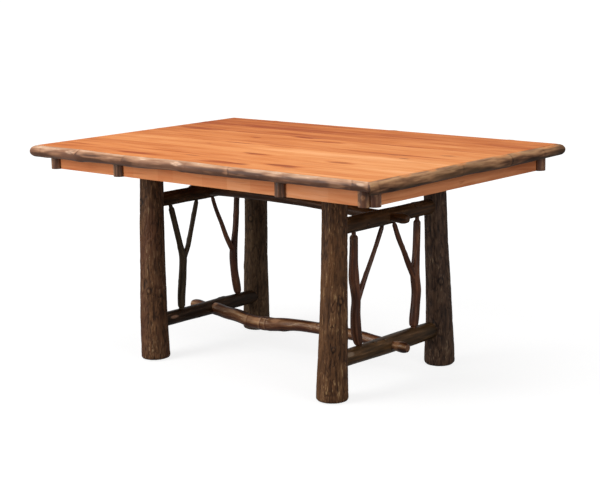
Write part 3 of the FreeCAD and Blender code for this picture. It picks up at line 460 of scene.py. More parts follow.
# Rails: tight sapling bark, nearly black under the top, with a low sheen, paler patches in the colour of bare
# wood, and a painted highlight along the side that faces +x and up
dark_bark = ((0.0, "#1A110A"), (0.3, "#312216"), (0.6, "#463221"), (1.0, "#654E38"))
shaded_bark = ((0.0, "#23160D"), (0.3, "#422D1C"), (0.6, "#5E422A"), (1.0, "#886648"))
brown_bark = ((0.0, "#24190E"), (0.3, "#46321E"), (0.6, "#66492C"), (1.0, "#94764E"))
rail_barks = {
    rail: bark(f"{kind}_rail_bark", *looks) for rail, kind, *looks in (
        ("upper_left", "dark", shaded_bark, "#7A6450", raw_cut, 0.5, (0.55, 0.42), 0.05),
        ("lower_left", "satin_dark", dark_bark, "#7A604C", ("#96705A", "#B08A70"), 0.35, (0.42, 0.32), 0.12),
        ("upper_right", "dark_brown", shaded_bark, "#866C52", ("#7E6654", "#96806C"), 0.35, (0.45, 0.34), 0.1),
        ("lower_right", "satin_brown", brown_bark, "#8A7058", ("#96806A", "#B09A84"), 0.35, (0.42, 0.3), 0.14),
    )
}
# Twigs: thin bark of young shoots, close and a little glossy, one fork greenish and three reddish
reddish = ((0.0, "#26140D"), (0.3, "#502F20"), (0.6, "#774D36"), (1.0, "#A68064"))
greenish = ((0.0, "#2A2114"), (0.3, "#4E402C"), (0.6, "#6B5A42"), (1.0, "#927F62"))
twig_barks = {
    corner: bark(f"young_twig_bark_{corner}", stops, "#857058", raw_cut, 0.25, (0.42, 0.3), 0.2,
                 fibre=(6.25, 50), warm=warm)
    for corner, stops, warm in (("front_left", greenish, "#3E2C20"), ("back_left", reddish, "#362A1E"),
                                ("front_right", reddish, "#30241A"), ("back_right", reddish, "#241C14"))
}
# Stretchers: the upper limb is dark and dull; the lower one has a glossier coat and a paler tan top that is
# a painted highlight over painted shade on its dark reddish underside, and orange wood shows at its cut ends
stretcher_barks = {
    "upper": bark(
        "dark_limb_bark", ((0.0, "#24150A"), (0.3, "#432916"), (0.6, "#603D21"), (1.0, "#8A5F38")),
        "#7E644A", ("#33241B", "#4A382C"), 0.25, (0.45, 0.34), 0.2,
    ),
    "lower": bark(
        "limb_bark_painted_highlight", ((0.0, "#200F08"), (0.3, "#54301B"), (0.6, "#825A3A"), (1.0, "#CCA982")),
        "#B89A7C", ("#A2683F", "#CFA27A"), 0.25, (0.36, 0.28), 0.2, 0.15, (6.25, 62.5), warm="#4C2214",
    ),
}
# Trim: split saplings, shaved and varnished. The long sides are pale and pinkish with light scars, the
# right end is grey brown with orange where the bark is off; both have a painted lighter top and painted shade
# underneath
sapling_bark = bark(
    "split_sapling_bark", ((0.0, "#543626"), (0.2, "#92684C"), (0.45, "#BE9272"), (0.8, "#E0BE9E")),
    "#E2C4A8", ("#D8AE8E", "#F0CCAE"), 0.2, (0.5, 0.38), 0.25,
    fibre=(12.5, 125), blotch=0.6, blotch_mm=83.33, warm="#8A6048",
)
end_sapling_bark = bark(
    "split_grey_sapling_bark", ((0.0, "#2E1C11"), (0.2, "#664530"), (0.45, "#A87C58"), (0.8, "#DCAC7E")),
    "#A88660", ("#B86A34", "#DE965A"), 0.25, (0.6, 0.48), 0.15,
    fibre=(14.286, 125), blotch=0.7, warm="#6A5036",
)
# Posts: split limbs, dull dark brown along the sides, redder and more mottled at the corners
post_bark = bark(
    "split_post_bark", ((0.0, "#2A180E"), (0.3, "#583821"), (0.6, "#84583A"), (1.0, "#BA8A60")),
    "#A88664", ("#B07850", "#DDA678"), 0.15, (0.4, 0.3), 0.3, 0.6, (7.143, 62.5), 0.5,
)
corner_post_bark = bark(
    "split_reddish_post_bark", ((0.0, "#2C190E"), (0.3, "#603E28"), (0.6, "#8E6544"), (1.0, "#B8906C")),
    "#B09070", ("#B07850", "#DDA678"), 0.25, (0.5, 0.36), 0.3, 0.3, (5.882, 50), 0.9, warm="#5A3020",
)


def plated_steel():
    """Zinc-plated steel: bright grey, and a little rough and cloudy from plating.

    Its crystals are drawn 1 mm wide, because real ones wouldn't show."""
    material, tree = new_material("zinc_plated_steel")
    cloud = figure(tree, add(tree, "TexCoord").outputs["Object"], (1.1111,) * 3, 2)
    rough = add(tree, "MapRange", (cloud, 0.3, 0.7, 0.25, 0.45), **soft)
    shader = add(tree, "BsdfPrincipled", {"Base Color": linear("#B9B7AE"), "Metallic": 1, "Roughness": rough})
    add(tree, "OutputMaterial", {"Surface": shader})
    return material


screw_steel = plated_steel()


# Natural surfaces

def lattice_noise(points, seed):
    """Smooth noise from -1 to 1 at each point, the same on every run.

    Large odd numbers scatter each lattice corner's place and the seed into that corner's own value."""
    cell = np.floor(points).astype(np.int64)
    part = points - cell
    part = part * part * part * (part * (part * 6 - 15) + 10)
    total = np.zeros(len(points))
    for corner in range(8):
        step = np.array([(corner >> axis) & 1 for axis in range(3)])
        key = (cell + step) @ np.array([73856093, 19349663, 83492791]) + seed * 2654435761
        key = (key ^ (key >> 13)) * 1274126177 & 0xFFFFFFFF
        key = (key ^ (key >> 16)) * 2246822519 & 0xFFFFFFFF
        value = ((key ^ (key >> 15)) & 0xFFFFFF) / 0xFFFFFF * 2 - 1
        total += value * np.prod(np.where(step, part, 1 - part), axis=1)
    return total


def layered_noise(points, seed):
    """Smooth noise with a layer of half the size and height on it."""
    return lattice_noise(points, seed) + lattice_noise(points * 2, seed + 1) / 2


def held(values, low, high):
    """Values brought to 0 at low and 1 at high with soft ends."""
    share = np.clip((values - low) / (high - low), 0, 1)
    return share * share * (3 - 2 * share)


def hump(off, wide):
    """A soft hump of height 1 where off is 0, and so wide to either side."""
    return np.exp(-((off / wide) ** 2))


def ridged_bark(grain, seed):
    """Furrowed trunk bark: ridges about 8 mm wide that part and meet again every 40 mm.

    Gives the height in mm and the relief, 0 in a furrow and 1 on a crest."""
    slow = grain * [14, 14, 8]
    slide = 1.6 * lattice_noise(grain * [60, 60, 4], seed + 13)
    sway = np.stack([lattice_noise(slow, seed + 11), lattice_noise(slow, seed + 12), slide], 1) * 0.7
    first = lattice_noise(grain * [125, 125, 19] + sway, seed)
    second = lattice_noise(grain * [100, 100, 26] + sway * 1.3 + 4.3, seed + 5)
    furrow = held(np.minimum(np.abs(first), np.abs(second) * 1.4), 0.0, 0.17)
    plates = 0.5 + 0.5 * lattice_noise(grain * [130, 130, 34] + sway, seed + 9)
    flakes = layered_noise(grain * [280, 280, 60], seed + 20)
    swell = lattice_noise(grain * [22, 22, 8], seed + 30)
    height = 1.0 - 1.5 * (1 - furrow) + 0.6 * plates + 0.35 * flakes + 0.8 * swell
    return height, np.clip(0.22 + furrow * (0.2 + 0.5 * plates) + 0.22 * flakes, 0, 1)


def smooth_bark(grain, seed):
    """Tight young bark: faint lengthwise wrinkles 6 mm wide and soft swellings a few cm long."""
    wrinkles = layered_noise(grain * [170, 170, 16], seed)
    swell = lattice_noise(grain * [26, 26, 13], seed + 7)
    return 0.4 + 0.28 * wrinkles + 0.6 * swell, np.clip(0.5 + 0.3 * wrinkles + 0.2 * swell, 0, 1)


def lengths_along(line):
    return np.concatenate(([0], np.cumsum(np.linalg.norm(np.diff(line, axis=0), axis=1))))


def smooth_run(rows, step):
    """Even rows along a smooth line through the given rows of x, y, z and more, about a step apart in mm."""
    rows = np.asarray(rows, float)
    at = lengths_along(rows[:, :3])
    slopes = np.gradient(rows, at, axis=0)
    want = np.linspace(0, at[-1], max(int(at[-1] / step), 2) + 1)
    before = np.clip(np.searchsorted(at, want, side="right") - 1, 0, len(at) - 2)
    width = (at[before + 1] - at[before])[:, None]
    t = (want - at[before])[:, None] / width
    return (
        (2 * t**3 - 3 * t**2 + 1) * rows[before] + (t**3 - 2 * t**2 + t) * slopes[before] * width
        + (3 * t**2 - 2 * t**3) * rows[before + 1] + (t**3 - t**2) * slopes[before + 1] * width
    )


def shaped_run(rows, step, shape=None):
    """A smooth run's middles and radii, the radii drawn in by a shape where one is given."""
    run = smooth_run(rows, step)
    centres, radii = run[:, :3], run[:, 3]
    return centres, shape(centres, radii) if shape else radii


def carried_frames(centres):
    """The way along a line and two ways square to it, carried along without twist."""
    ways = np.gradient(centres, axis=0)
    ways /= np.linalg.norm(ways, axis=1)[:, None]
    side = np.eye(3)[0] if abs(ways[0][0]) < 0.9 else np.eye(3)[1]
    square = []
    for way in ways:
        side = side - way * (side @ way)
        side = side / np.linalg.norm(side)
        square.append(side)
    square = np.array(square)
    return ways, square, np.cross(ways, square)


def new_object(name, data):
    made = bpy.data.objects.new(name, data)
    bpy.context.scene.collection.objects.link(made)
    return made


def plain_mesh(name, corners, faces=()):
    """A mesh from corners in mm."""
    mesh = bpy.data.meshes.new(name)
    mesh.from_pydata((np.asarray(corners) * MM).tolist(), [], faces)
    return mesh


def evaluated_mesh(made):
    """The plain mesh that an object's modifiers give; the object goes."""
    mesh = bpy.data.meshes.new_from_object(made.evaluated_get(bpy.context.evaluated_depsgraph_get()))
    bpy.data.objects.remove(made)
    return mesh


def bark_piece(name, corners, faces, material, grain, relief, bare):
    """A smooth-shaded piece in bark, with what its material reads: place in the bark, relief, bare wood."""
    mesh = plain_mesh(name, corners, faces)
    mesh.polygons.foreach_set("use_smooth", [True] * len(mesh.polygons))
    places = mesh.attributes.new("grain", "FLOAT_VECTOR", "POINT")
    places.data.foreach_set("vector", np.float32(grain).ravel())
    for attribute, values in (("relief", relief), ("bare", bare)):
        mesh.attributes.new(attribute, "FLOAT", "POINT").data.foreach_set("value", np.float32(values))
    mesh.materials.append(material)
    return new_object(name, mesh)


def hand_over(piece, slot, *nodes):
    """Tie a finished piece to the frame."""
    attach(piece, "root")
    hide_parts(*nodes)


def bark_place(turn, along, radii):
    """A place in the bark in metres: round a rod of the limb's middle thickness, and along it."""
    wide = float(np.median(radii))
    return np.stack([np.cos(turn) * wide, np.sin(turn) * wide, along], 1) * MM


def marked(along, turn, radius, height, relief, bare, knots=(), rings=(), scars=()):
    """Knots, rings and scars worked into a limb's skin.

    A knot is (place along, turn, rise, length, width), a ring (place along, swell, crease) and a scar,
    where bark has rubbed off, (place along, turn, length, width, strength); mm, the turn in radians."""
    def gap_from(place, middle, long, broad):
        apart = (turn - middle + math.pi) % math.tau - math.pi
        return np.hypot((along - place) / long, apart * radius / broad)

    for place, knot_turn, rise, *size in knots:
        gap = gap_from(place, knot_turn, *size)
        height = height + rise * hump(gap, 1)
        relief = relief - 0.55 * hump(gap - 0.75, 0.22) + 0.2 * hump(gap, 0.5)
    for place, swell, crease in rings:
        off = along - place - 2.5 * np.sin(turn + place)
        height = height + swell * hump(off, 11) - crease * hump(off, 1.8)
        relief = relief + 0.25 * crease * hump(off + 7, 5) - 0.6 * crease * hump(off, 2.4)
    for *spot, strength in scars:
        gap = gap_from(*spot) + 0.5 * (0.5 - relief)
        bare = np.maximum(bare, strength * (1 - held(gap, 0.5, 1.1)))
    return height, relief, bare


def quads(edge, inner):
    """The faces between two rings of corners."""
    return np.stack((edge, np.roll(edge, -1), np.roll(inner, -1), inner), 1)


def limb(name, run, around, skin, seed, material, bare_ends=(0, 0), cut_ends=(1, 1), worn=None, **marks):
    """A round limb along a run of middles and radii in mm, closed at both ends.

    bare_ends says how far its skin is off at either end, cut_ends how pale the cut there is, 0 to 1, and
    the way given last is the way that a paler strip faces, as long as that strip is pale: a painted highlight,
    with painted shade round the rest of the limb."""
    centres, radii = run
    ways, square, third = carried_frames(centres)
    length = lengths_along(centres)
    turn = np.tile(np.arange(around) * math.tau / around, len(centres))
    along = np.repeat(length, around)
    radius = np.repeat(radii, around)
    grain = bark_place(turn, along, radii)
    height, relief = skin(grain, seed)
    bare = np.zeros(len(turn))
    for place, reach in zip((0, length[-1]), bare_ends):
        if reach:
            bare = np.maximum(bare, 1 - held(np.abs(along - place) + 6 * relief, reach * 0.8, reach * 1.1))
    height, relief, bare = marked(along, turn, radius, height, relief, bare, **marks)
    height = height * np.clip(radius / float(np.median(radii)), 0.2, 1)
    outward = np.cos(turn)[:, None] * np.repeat(square, around, 0)
    outward += np.sin(turn)[:, None] * np.repeat(third, around, 0)
    # A painted highlight on the strip that faces the given way, and painted shade round the rest of the limb
    if worn:
        pale = math.hypot(*worn)
        relief = relief + pale * (np.clip(outward @ np.array(worn) / pale, 0, 1) ** 4 - 0.35)
    corners = np.repeat(centres, around, 0) + outward * (radius + height)[:, None]
    circles = np.arange(len(turn)).reshape(-1, around)
    faces = [face for edge, inner in zip(circles, circles[1:]) for face in quads(edge, inner).tolist()]
    # Each cut end: two smaller rings and a fan of faces round its middle
    for end, order in ((0, -1), (-1, 1)):
        middle, rim, edge = centres[end], circles[end], circles[end]
        for share in (0.9, 0.45):
            inner = len(corners) + np.arange(around)
            corners = np.vstack((corners, middle + (corners[rim] - middle) * share))
            grain = np.vstack((grain, grain[rim] * [share, share, 1]))
            faces += quads(edge, inner)[:, ::order].tolist()
            edge = inner
        fan = (edge, np.full(around, len(corners)), np.roll(edge, -1))
        faces += np.stack(fan if end == 0 else (fan[0], fan[2], fan[1]), 1).tolist()
        corners = np.vstack((corners, middle))
        grain = np.vstack((grain, [0, 0, length[end] * MM]))
        relief = np.append(relief, np.full(2 * around + 1, 0.6))
        bare = np.append(bare, np.full(2 * around + 1, cut_ends[end]))
    return bark_piece(name, corners, faces, material, grain, relief, bare)


# Legs

# Knots on the legs: height, turn, rise, length and width, the turn from +x towards +y
leg_knots = {
    "front_left": ((560, 4.4, 2, 16, 12), (250, 5.2, 1.6, 14, 10), (95, 4.3, 2, 12, 12)),
    "back_left": ((430, 5.0, 2, 16, 12), (240, 4.0, 2, 14, 10)),
    "front_right": ((177, 5.45, 2.4, 11, 8), (470, 4.2, 2, 14, 10), (330, 5.9, 1.6, 14, 10)),
    "back_right": ((300, 5.6, 2, 16, 11), (150, 5.0, 2, 12, 10), (480, 4.6, 1.6, 14, 10)),
}


def eased_foot(centres, radii):
    """Radii drawn in to a rounded edge at the foot."""
    rise = np.clip(centres[:, 2] / foot_round, 0, 1)
    return radii - foot_round * (1 - np.sqrt(1 - (1 - rise) ** 2))


def make_leg(end, side, seed):
    """A tapering trunk that leans in across the table, cut level at its foot and under the top."""
    corner = f"{end}_{side}"
    x = sides[side] * trestle_spacing / 2
    rows = []
    for share, radius, right, inward in zip(leg_heights, *leg_forms[corner]):
        y = foot_spacing / 2 - (foot_spacing - leg_top_spacing) / 2 * share - inward * foot_radius
        middle = (x - ends[end] * right * foot_radius, ends[end] * y, share * leg_height)
        rows.append((*middle, radius * foot_radius))
    run = shaped_run(rows, leg_step, eased_foot)
    piece = limb(f"log_leg_{corner}", run, leg_around, ridged_bark, seed, leg_barks[corner],
                 knots=leg_knots[corner])
    for point in piece.data.vertices:
        point.co.z = min(max(point.co.z, 0), leg_height * MM)
    hand_over(piece, "leg_bark", f"leg_{corner}")


# Rails

# Pale patches on the rails, in the colour of bare wood: place from the front end, turn, length, width and
# strength
rail_pale_patches = {
    "upper_left": (),
    "lower_left": ((50, 5.95, 22, 6, 0.9),),
    "upper_right": ((40, 4.9, 26, 7, 0.4),),
    "lower_right": ((40, 5.6, 22, 10, 0.5),),
}


def axis_out(height):
    """How far a leg's straight axis stands from the trestle's middle at a height."""
    return foot_spacing / 2 - (foot_spacing - leg_top_spacing) / 2 * height / leg_height


def make_rail(rail, seed):
    """A log from leg to leg, with five small knots."""
    side = rail.split("_")[1]
    x, z = sides[side] * trestle_spacing / 2, rail_height[rail]
    reach = axis_out(z) - rail_end
    rows = [(x, share * reach, z, radius * rail_radius[rail]) for share, radius in rail_shares[rail]]
    rng = np.random.default_rng(seed)
    knots = [(rng.uniform(90, 400), rng.uniform(0, math.tau), rng.uniform(1, 2.2), 9, 8) for _ in range(5)]
    run = shaped_run(rows, rail_step)
    # A painted highlight along the side of the rail that faces +x and up, and painted shade round the rest
    piece = limb(f"log_rail_{rail}", run, rail_around, smooth_bark, seed, rail_barks[rail],
                 knots=knots, scars=rail_pale_patches[rail], worn=(0.12, 0, 0.16))
    hand_over(piece, "rail_bark", f"rail_{rail}")


# Stretchers

def make_stretcher(level, **marks):
    """A bent limb whose ends, from the outside in, have a chamfered tip, a long tenon that passes through
    the rail and stands out from it, and a shoulder on the rail's inner face."""
    tenon, girth, shares = stretcher_tenon[level], stretcher_radius[level], stretcher_shares[level]
    half, tip = trestle_spacing / 2, tenon * 0.93
    left, right = rail_height[f"{level}_left"], rail_height[f"{level}_right"]
    passing = []
    for side, stub, share, z in zip(sides, stubs[level], (shares[0], shares[-1]), (left, right)):
        rise, radius = share[2:]
        clear = rail_radius[f"{level}_{side}"] * 1.05
        inner, outer = half - clear, half + clear
        jog = 6 * rise
        passing.append([(sides[side] * x, 0, height, thick) for x, height, thick in (
            (outer + stub, z, tip - tip_bevel), (outer + stub - tip_bevel / 3, z, tip - tip_bevel / 3),
            (outer + stub - tip_bevel, z, tip), (outer, z, tenon), (inner + tenon_end, z, tenon),
            (inner + shoulder_middle, z + jog / 2, tenon * 1.05),
            (inner + shoulder_top, z + jog, radius * girth * 0.96),
            (inner + girth_start, z + jog, radius * girth),
            (inner - bend_start, z + jog * 1.3 + rise * 3, radius * girth),
        )])
    rows = passing[0]
    for share, drift, rise, radius in shares:
        level_line = left + (right - left) * (share + 0.5)
        rows.append((share * trestle_spacing, drift * girth, level_line + rise * girth, radius * girth))
    rows += passing[1][::-1]
    piece = limb(f"limb_stretcher_{level}", shaped_run(rows, stretcher_step), stretcher_around, smooth_bark,
                 bark_seeds[level], stretcher_barks[level], **marks)
    hand_over(piece, "stretcher_bark", f"stretcher_{level}")


# Forked twigs

def twig_room(side):
    """The heights of the lower rail's top and of the upper rail's underside."""
    lower, upper = f"lower_{side}", f"upper_{side}"
    return rail_height[lower] + rail_radius[lower], rail_height[upper] - rail_radius[upper]


def twig_rows(end, side, part):
    """The rows of a twig's stem or branch, between its two rails."""
    low, high = twig_room(side)
    low_room, high_room = [axis_out(rail_height[f"{level}_{side}"]) for level in ("lower", "upper")]
    x = sides[side] * trestle_spacing / 2
    rows = []
    for across, share, radius in twig_shares[f"{end}_{side}"][part]:
        y = across * (low_room + (high_room - low_room) * share)
        rows.append((x, y, low + (high - low) * share, radius * twig_radius))
    return rows


def reaching(rows, first, last):
    """The rows, run on at either end by so many mm."""
    rows = [np.array(row, float) for row in rows]
    out = []
    for here, beyond, reach in ((rows[0], rows[1], first), (rows[-1], rows[-2], last)):
        way = (here - beyond)[:3]
        longer = here.copy()
        longer[:3] += way / np.linalg.norm(way) * reach
        out.append(longer)
    return ([out[0]] if first else []) + rows + ([out[1]] if last else [])


def make_twig(end, side, seed):
    """A forked twig: its foot and the tips of stem and branch are cut down to tenons in the rails."""
    low, high = twig_room(side)
    corner = f"{end}_{side}"

    def cut_to(foot, tip, tip_neck):
        """Knife cuts that draw a limb in to its tenons where it nears the rails."""
        def shape(centres, radii):
            seats = ((centres[:, 2] - low, foot, twig_foot_neck), (high - centres[:, 2], tip, tip_neck))
            for room, tenon, neck in seats:
                if tenon:
                    share = held(room, neck, neck + twig_shoulder)
                    radii = np.minimum(radii, tenon) + np.maximum(radii - tenon, 0) * share
            return radii
        return shape

    rng = np.random.default_rng(seed)
    buds = [(rng.uniform(60, 330), rng.uniform(0, math.tau), rng.uniform(1, 2), 8, 6) for _ in range(5)]
    branch_buds = [(bud[0] * 0.7, *bud[1:]) for bud in buds[:3]]
    limbs, runs = [], []
    for number, (part, foot_seat, cuts, around, knots) in enumerate((
        ("stem", twig_seat, (twig_foot_tenon, twig_tip_tenon, twig_tip_neck), stem_around, buds),
        ("branch", 0, (0, branch_tenon, twig_foot_neck), branch_around, branch_buds),
    )):
        rows = reaching(twig_rows(end, side, part), foot_seat, twig_seat)
        runs.append(shaped_run(rows, twig_step, cut_to(*cuts)))
        limbs.append(limb(part, runs[-1], around, smooth_bark, seed + number, twig_barks[corner], knots=knots))
    grown = grow_together(f"forked_twig_{corner}", limbs, runs, seed, twig_barks[corner])
    hand_over(grown, "twig_bark", f"twig_{corner}")


def grow_together(name, limbs, runs, seed, material):
    """Limbs remeshed into one skin, smoothed at the fork, then given bark that follows the nearest limb."""
    both = bmesh.new()
    for piece in limbs:
        both.from_mesh(piece.data)
        bpy.data.objects.remove(piece)
    mesh = bpy.data.meshes.new(name)
    both.to_mesh(mesh)
    both.free()
    rough = new_object(name + "_rough", mesh)
    remesh = rough.modifiers.new("one skin", "REMESH")
    remesh.mode = "VOXEL"
    remesh.voxel_size = twig_skin * MM
    rough.modifiers.new("soft fork", "SMOOTH").iterations = 4
    skinned = evaluated_mesh(rough)
    points, normals = np.zeros(len(skinned.vertices) * 3), np.zeros(len(skinned.vertices) * 3, np.float32)
    skinned.vertices.foreach_get("co", points)
    skinned.vertex_normals.foreach_get("vector", normals)
    points, normals = points.reshape(-1, 3) / MM, normals.reshape(-1, 3)
    nearest = np.full(len(points), np.inf)
    grain = np.zeros((len(points), 3))
    for number, (centres, radii) in enumerate(runs):
        ways, square, third = carried_frames(centres)
        apart = np.linalg.norm(points[:, None, :] - centres[None, :, :], axis=2)
        close = apart.argmin(1)
        gap = apart.min(1) - radii[close]
        offset = points - centres[close]
        turn = np.arctan2((offset * third[close]).sum(1), (offset * square[close]).sum(1))
        along = close * twig_step + (offset * ways[close]).sum(1) + number * 1000
        better = gap < nearest
        grain[better] = bark_place(turn, along, radii)[better]
        nearest = np.minimum(nearest, gap)
    height, relief = smooth_bark(grain, seed)
    points = points + normals * (np.clip(-nearest, 0, 2) + height * 0.4 + 0.3)[:, None]
    faces = [list(face.vertices) for face in skinned.polygons]
    return bark_piece(name, points, faces, material, grain, relief, np.zeros(len(points)))


# Half round trim and posts

def half_round(name, rows, around, ways, seed, material, rings=(), scars=(), mitred=0.0, flush=0,
               worn=(0, 0, 1)):
    """A split sapling from rows of place along, radius and lift in mm, its flat side on the wood behind it.

    ways are its origin, its way along and its way out. A ring is (place, swell, crease) and a scar (place,
    turn, length, how pale, how dark its cross). A mitred one ends in 45 degree cuts that far from its
    middle; with flush 1 its top line is level. The last setting says how much paler its top is than its
    underside, as painted light on top and painted shade beneath, and between which turns it darkens."""
    run = smooth_run([(place, 0, 0, radius, lift) for place, radius, lift in rows], split_step)
    turn = np.tile(np.linspace(0, math.pi, around), len(run))
    along, radius, lift = [np.repeat(run[:, column], around) for column in (0, 3, 4)]
    grain = bark_place(turn, along, run[:, 3])
    height, relief = smooth_bark(grain, seed)
    height = height - 0.3
    # Painted light on the top and painted shade on the underside, as strong as the first setting
    relief = relief + worn[0] * (0.4 - held(turn, *worn[1:]))
    bare = np.zeros(len(turn))
    for place, swell, crease in rings:
        here = np.full(len(turn), place)
        off = along - place - 5 * lattice_noise(np.stack([turn * 1.3, here, turn * 0], 1), seed)
        fade = 0.45 + 0.55 * np.abs(lattice_noise(np.stack([turn * 2, here, turn * 0], 1), seed + 3))
        height = height + 1.2 * swell * hump(off, 15) - 0.7 * crease * hump(off, 2.5)
        relief = relief + 0.25 * crease * hump(off + 9, 8) - 0.9 * crease * fade * hump(off, 3.2)
    for place, scar_turn, long, pale, cross in scars:
        across, over = (along - place) / long, (turn - scar_turn) / 0.5
        bulk = np.exp(-(across**2 + over**2) * 1.4)
        ragged = held(bulk + 0.25 * (relief - 0.5), 0.25, 0.8)
        bare = np.maximum(bare, 0.8 * pale * ragged)
        lines = hump(np.abs(across) - np.abs(over), 0.2) * held(bulk, 0.2, 0.5)
        relief = relief + 0.2 * pale * ragged - 0.9 * cross * lines
        bare = bare * (1 - cross * lines)
        height = height + 0.8 * pale * bulk - 0.6 * cross * lines
    thick = radius + height * held(np.sin(turn), 0, 0.3)
    out, up = thick * np.sin(turn), thick * np.cos(turn) + lift - radius * flush
    along = along * (mitred + out) / mitred if mitred else along
    origin, way_along, way_out = [np.array(way, float) for way in ways]
    way_up = np.cross(way_out, way_along)
    corners = origin + along[:, None] * way_along + out[:, None] * way_out + up[:, None] * way_up
    faces = []
    arcs = np.arange(len(turn)).reshape(-1, around)
    for arc, following in zip(arcs, arcs[1:]):
        faces += quads(arc, following).tolist()
    faces += [arcs[0][::-1].tolist(), arcs[-1].tolist()]
    return bark_piece(name, corners, faces, material, grain, relief, bare)


# The trims lie this much higher than their solids and are this much thicker, so that their bark stands
# level with the boards' face, as on the real table; the left one, which isn't seen, keeps its thickness
trim_lift, trim_more = 3, {"front": 1.5, "back": 1.5, "left": 0, "right": 1.5}

# How much paler a trim's top is than its underside, as painted light on top and painted shade beneath, and
# between which turns it darkens
trim_worn = {side: (0.9, 0.25, 1.75) for side in ("front", "back", "left")} | {"right": (0.75, 0.6, 2.4)}


def make_trims():
    """Split saplings on the four edges of the boards, mitred at the corners."""
    x, y = top_length / 2, top_width / 2
    places = {
        "front": ((0, -y), (1, 0, 0), (0, -1, 0), x), "back": ((0, y), (-1, 0, 0), (0, 1, 0), x),
        "left": ((-x, 0), (0, -1, 0), (-1, 0, 0), y), "right": ((x, 0), (0, 1, 0), (1, 0, 0), y),
    }
    for seed, (side, (spot, way_along, way_out, half)) in enumerate(places.items(), bark_seeds["trim"]):
        rows = [(share * half, radius * trim_radius + trim_more[side], lift)
                for share, radius, lift in trim_shares[side]]
        ways = ((*spot, top_height - trim_drop + trim_lift), way_along, way_out)
        skin = sapling_bark if side in ("left", "front") else end_sapling_bark
        piece = half_round(f"sapling_trim_{side}", rows, trim_around, ways, seed, skin, trim_rings[side],
                           trim_scars[side], mitred=half, flush=1, worn=trim_worn[side])
        hand_over(piece, "sapling_bark", f"trim_{side}")


# Pale marks on the posts, as on the trim: at the near corner, on front_4 and right_1, places where the
# bark has come off; on front_1 and front_2 an upright pale stripe left of the middle that is a painted
# highlight
post_marks_and_highlights = {
    "front_1": ((28, 1.3, 60, 0.35, 0),),
    "front_2": ((28, 1.1, 60, 0.5, 0),),
    "front_4": ((10, 1.2, 9, 0.9, 0.3), (30, 2.0, 10, 0.6, 0.4), (46, 1.1, 8, 0.8, 0.3)),
    "right_1": ((8, 2.1, 8, 0.8, 0.2), (40, 0.9, 12, 0.4, 0.4)),
}


def make_posts():
    """Split limbs on the apron: one at each end of every side, and two more along the front and back."""
    z = top_height - top_thickness - apron_depth
    half, deep, middle = apron_length / 2, apron_width / 2, middle_post_spacing / 2
    corner_x, corner_y = half - post_radius, deep - post_radius
    spots = []
    for number, (front_x, back_x) in enumerate(
        ((-corner_x, -corner_x), (-middle, middle), (middle, -middle), (corner_x, corner_x)), 1
    ):
        spots.append((f"front_{number}", (front_x, -deep, z), (0, -1, 0)))
        spots.append((f"back_{number}", (back_x, deep, z), (0, 1, 0)))
    for number, y in enumerate((-corner_y, corner_y), 1):
        spots.append((f"left_{number}", (-half, y, z), (-1, 0, 0)))
        spots.append((f"right_{number}", (half, y, z), (1, 0, 0)))
    rows = [(share * apron_depth, radius * post_radius, 0)
            for share, radius in ((0, 0.985), (0.5, 1), (1, 0.99))]
    middle_posts = ("front_2", "front_3", "back_2", "back_3")
    for seed, (name, origin, way_out) in enumerate(spots, bark_seeds["post"]):
        skin = post_bark if name in middle_posts else corner_post_bark
        piece = half_round(f"split_post_{name}", rows, post_around, (origin, (0, 0, 1), way_out), seed, skin,
                           scars=post_marks_and_highlights.get(name, ()))
        hand_over(piece, "sapling_bark", f"post_{name}")


# Boards and aprons

def plank(name, outline, low, high, material, edge, outer=()):
    """A board from its outline in mm, seen from above, with edges softened by so many mm, and by 1 mm along
    the top of its outer sides."""
    built = bmesh.new()
    foot, top = [[built.verts.new(Vector((x, y, z)) * MM) for x, y in outline] for z in (low, high)]
    built.faces.new(foot[::-1])
    built.faces.new(top)
    count = len(outline)
    for spot in range(count):
        following = (spot + 1) % count
        built.faces.new((foot[spot], foot[following], top[following], top[spot]))
    bmesh.ops.recalc_face_normals(built, faces=built.faces)
    built.edges.ensure_lookup_table()
    if outer:
        broad = [built.edges.get((top[spot], top[(spot + 1) % count])) for spot in outer]
        bmesh.ops.bevel(built, geom=broad, offset=MM, segments=3, profile=0.5, affect="EDGES")
    sharp = [e for e in built.edges if len(e.link_faces) == 2 and e.calc_face_angle() > 1.2]
    bmesh.ops.bevel(built, geom=sharp, offset=edge * MM, segments=2, profile=0.6, affect="EDGES")
    mesh = bpy.data.meshes.new(name)
    built.to_mesh(mesh)
    built.free()
    mesh.materials.append(material)
    return new_object(name, mesh)


def make_boards():
    """The top's boards, edge to edge, their seams softened just enough to show as thin lines."""
    half, last = top_length / 2, len(board_woods)
    for number, wood in enumerate(board_woods, 1):
        front, back = [top_width * (share - 0.5) for share in board_edge_shares[number - 1:number + 1]]
        outline = ((-half, front), (half, front), (half, back), (-half, back))
        outer = [1, 3] + ([0] if number == 1 else []) + ([2] if number == last else [])
        piece = plank(f"planed_board_{number}", outline, top_height - top_thickness, top_height, wood,
                      board_edge, outer)
        hand_over(piece, "board_wood", f"top_board_{number}")


def make_aprons():
    """Boards on edge under the top, mitred at the corners."""
    high = top_height - top_thickness
    x, y = apron_length / 2, apron_width / 2
    inner_x, inner_y = x - apron_thickness, y - apron_thickness
    boards = {
        "front": ((-x, -y), (x, -y), (inner_x, -inner_y), (-inner_x, -inner_y)),
        "back": ((x, y), (-x, y), (-inner_x, inner_y), (inner_x, inner_y)),
        "left": ((-x, y), (-x, -y), (-inner_x, -inner_y), (-inner_x, inner_y)),
        "right": ((x, -y), (x, y), (inner_x, inner_y), (inner_x, -inner_y)),
    }
    for side, outline in boards.items():
        wood = end_apron_wood if side in ("left", "right") else apron_wood
        piece = plank(f"planed_apron_{side}", outline, high - apron_depth, high, wood, apron_edge)
        hand_over(piece, "apron_wood", f"apron_{side}")


# Fasteners: one tree puts the same dowel or screw at every point

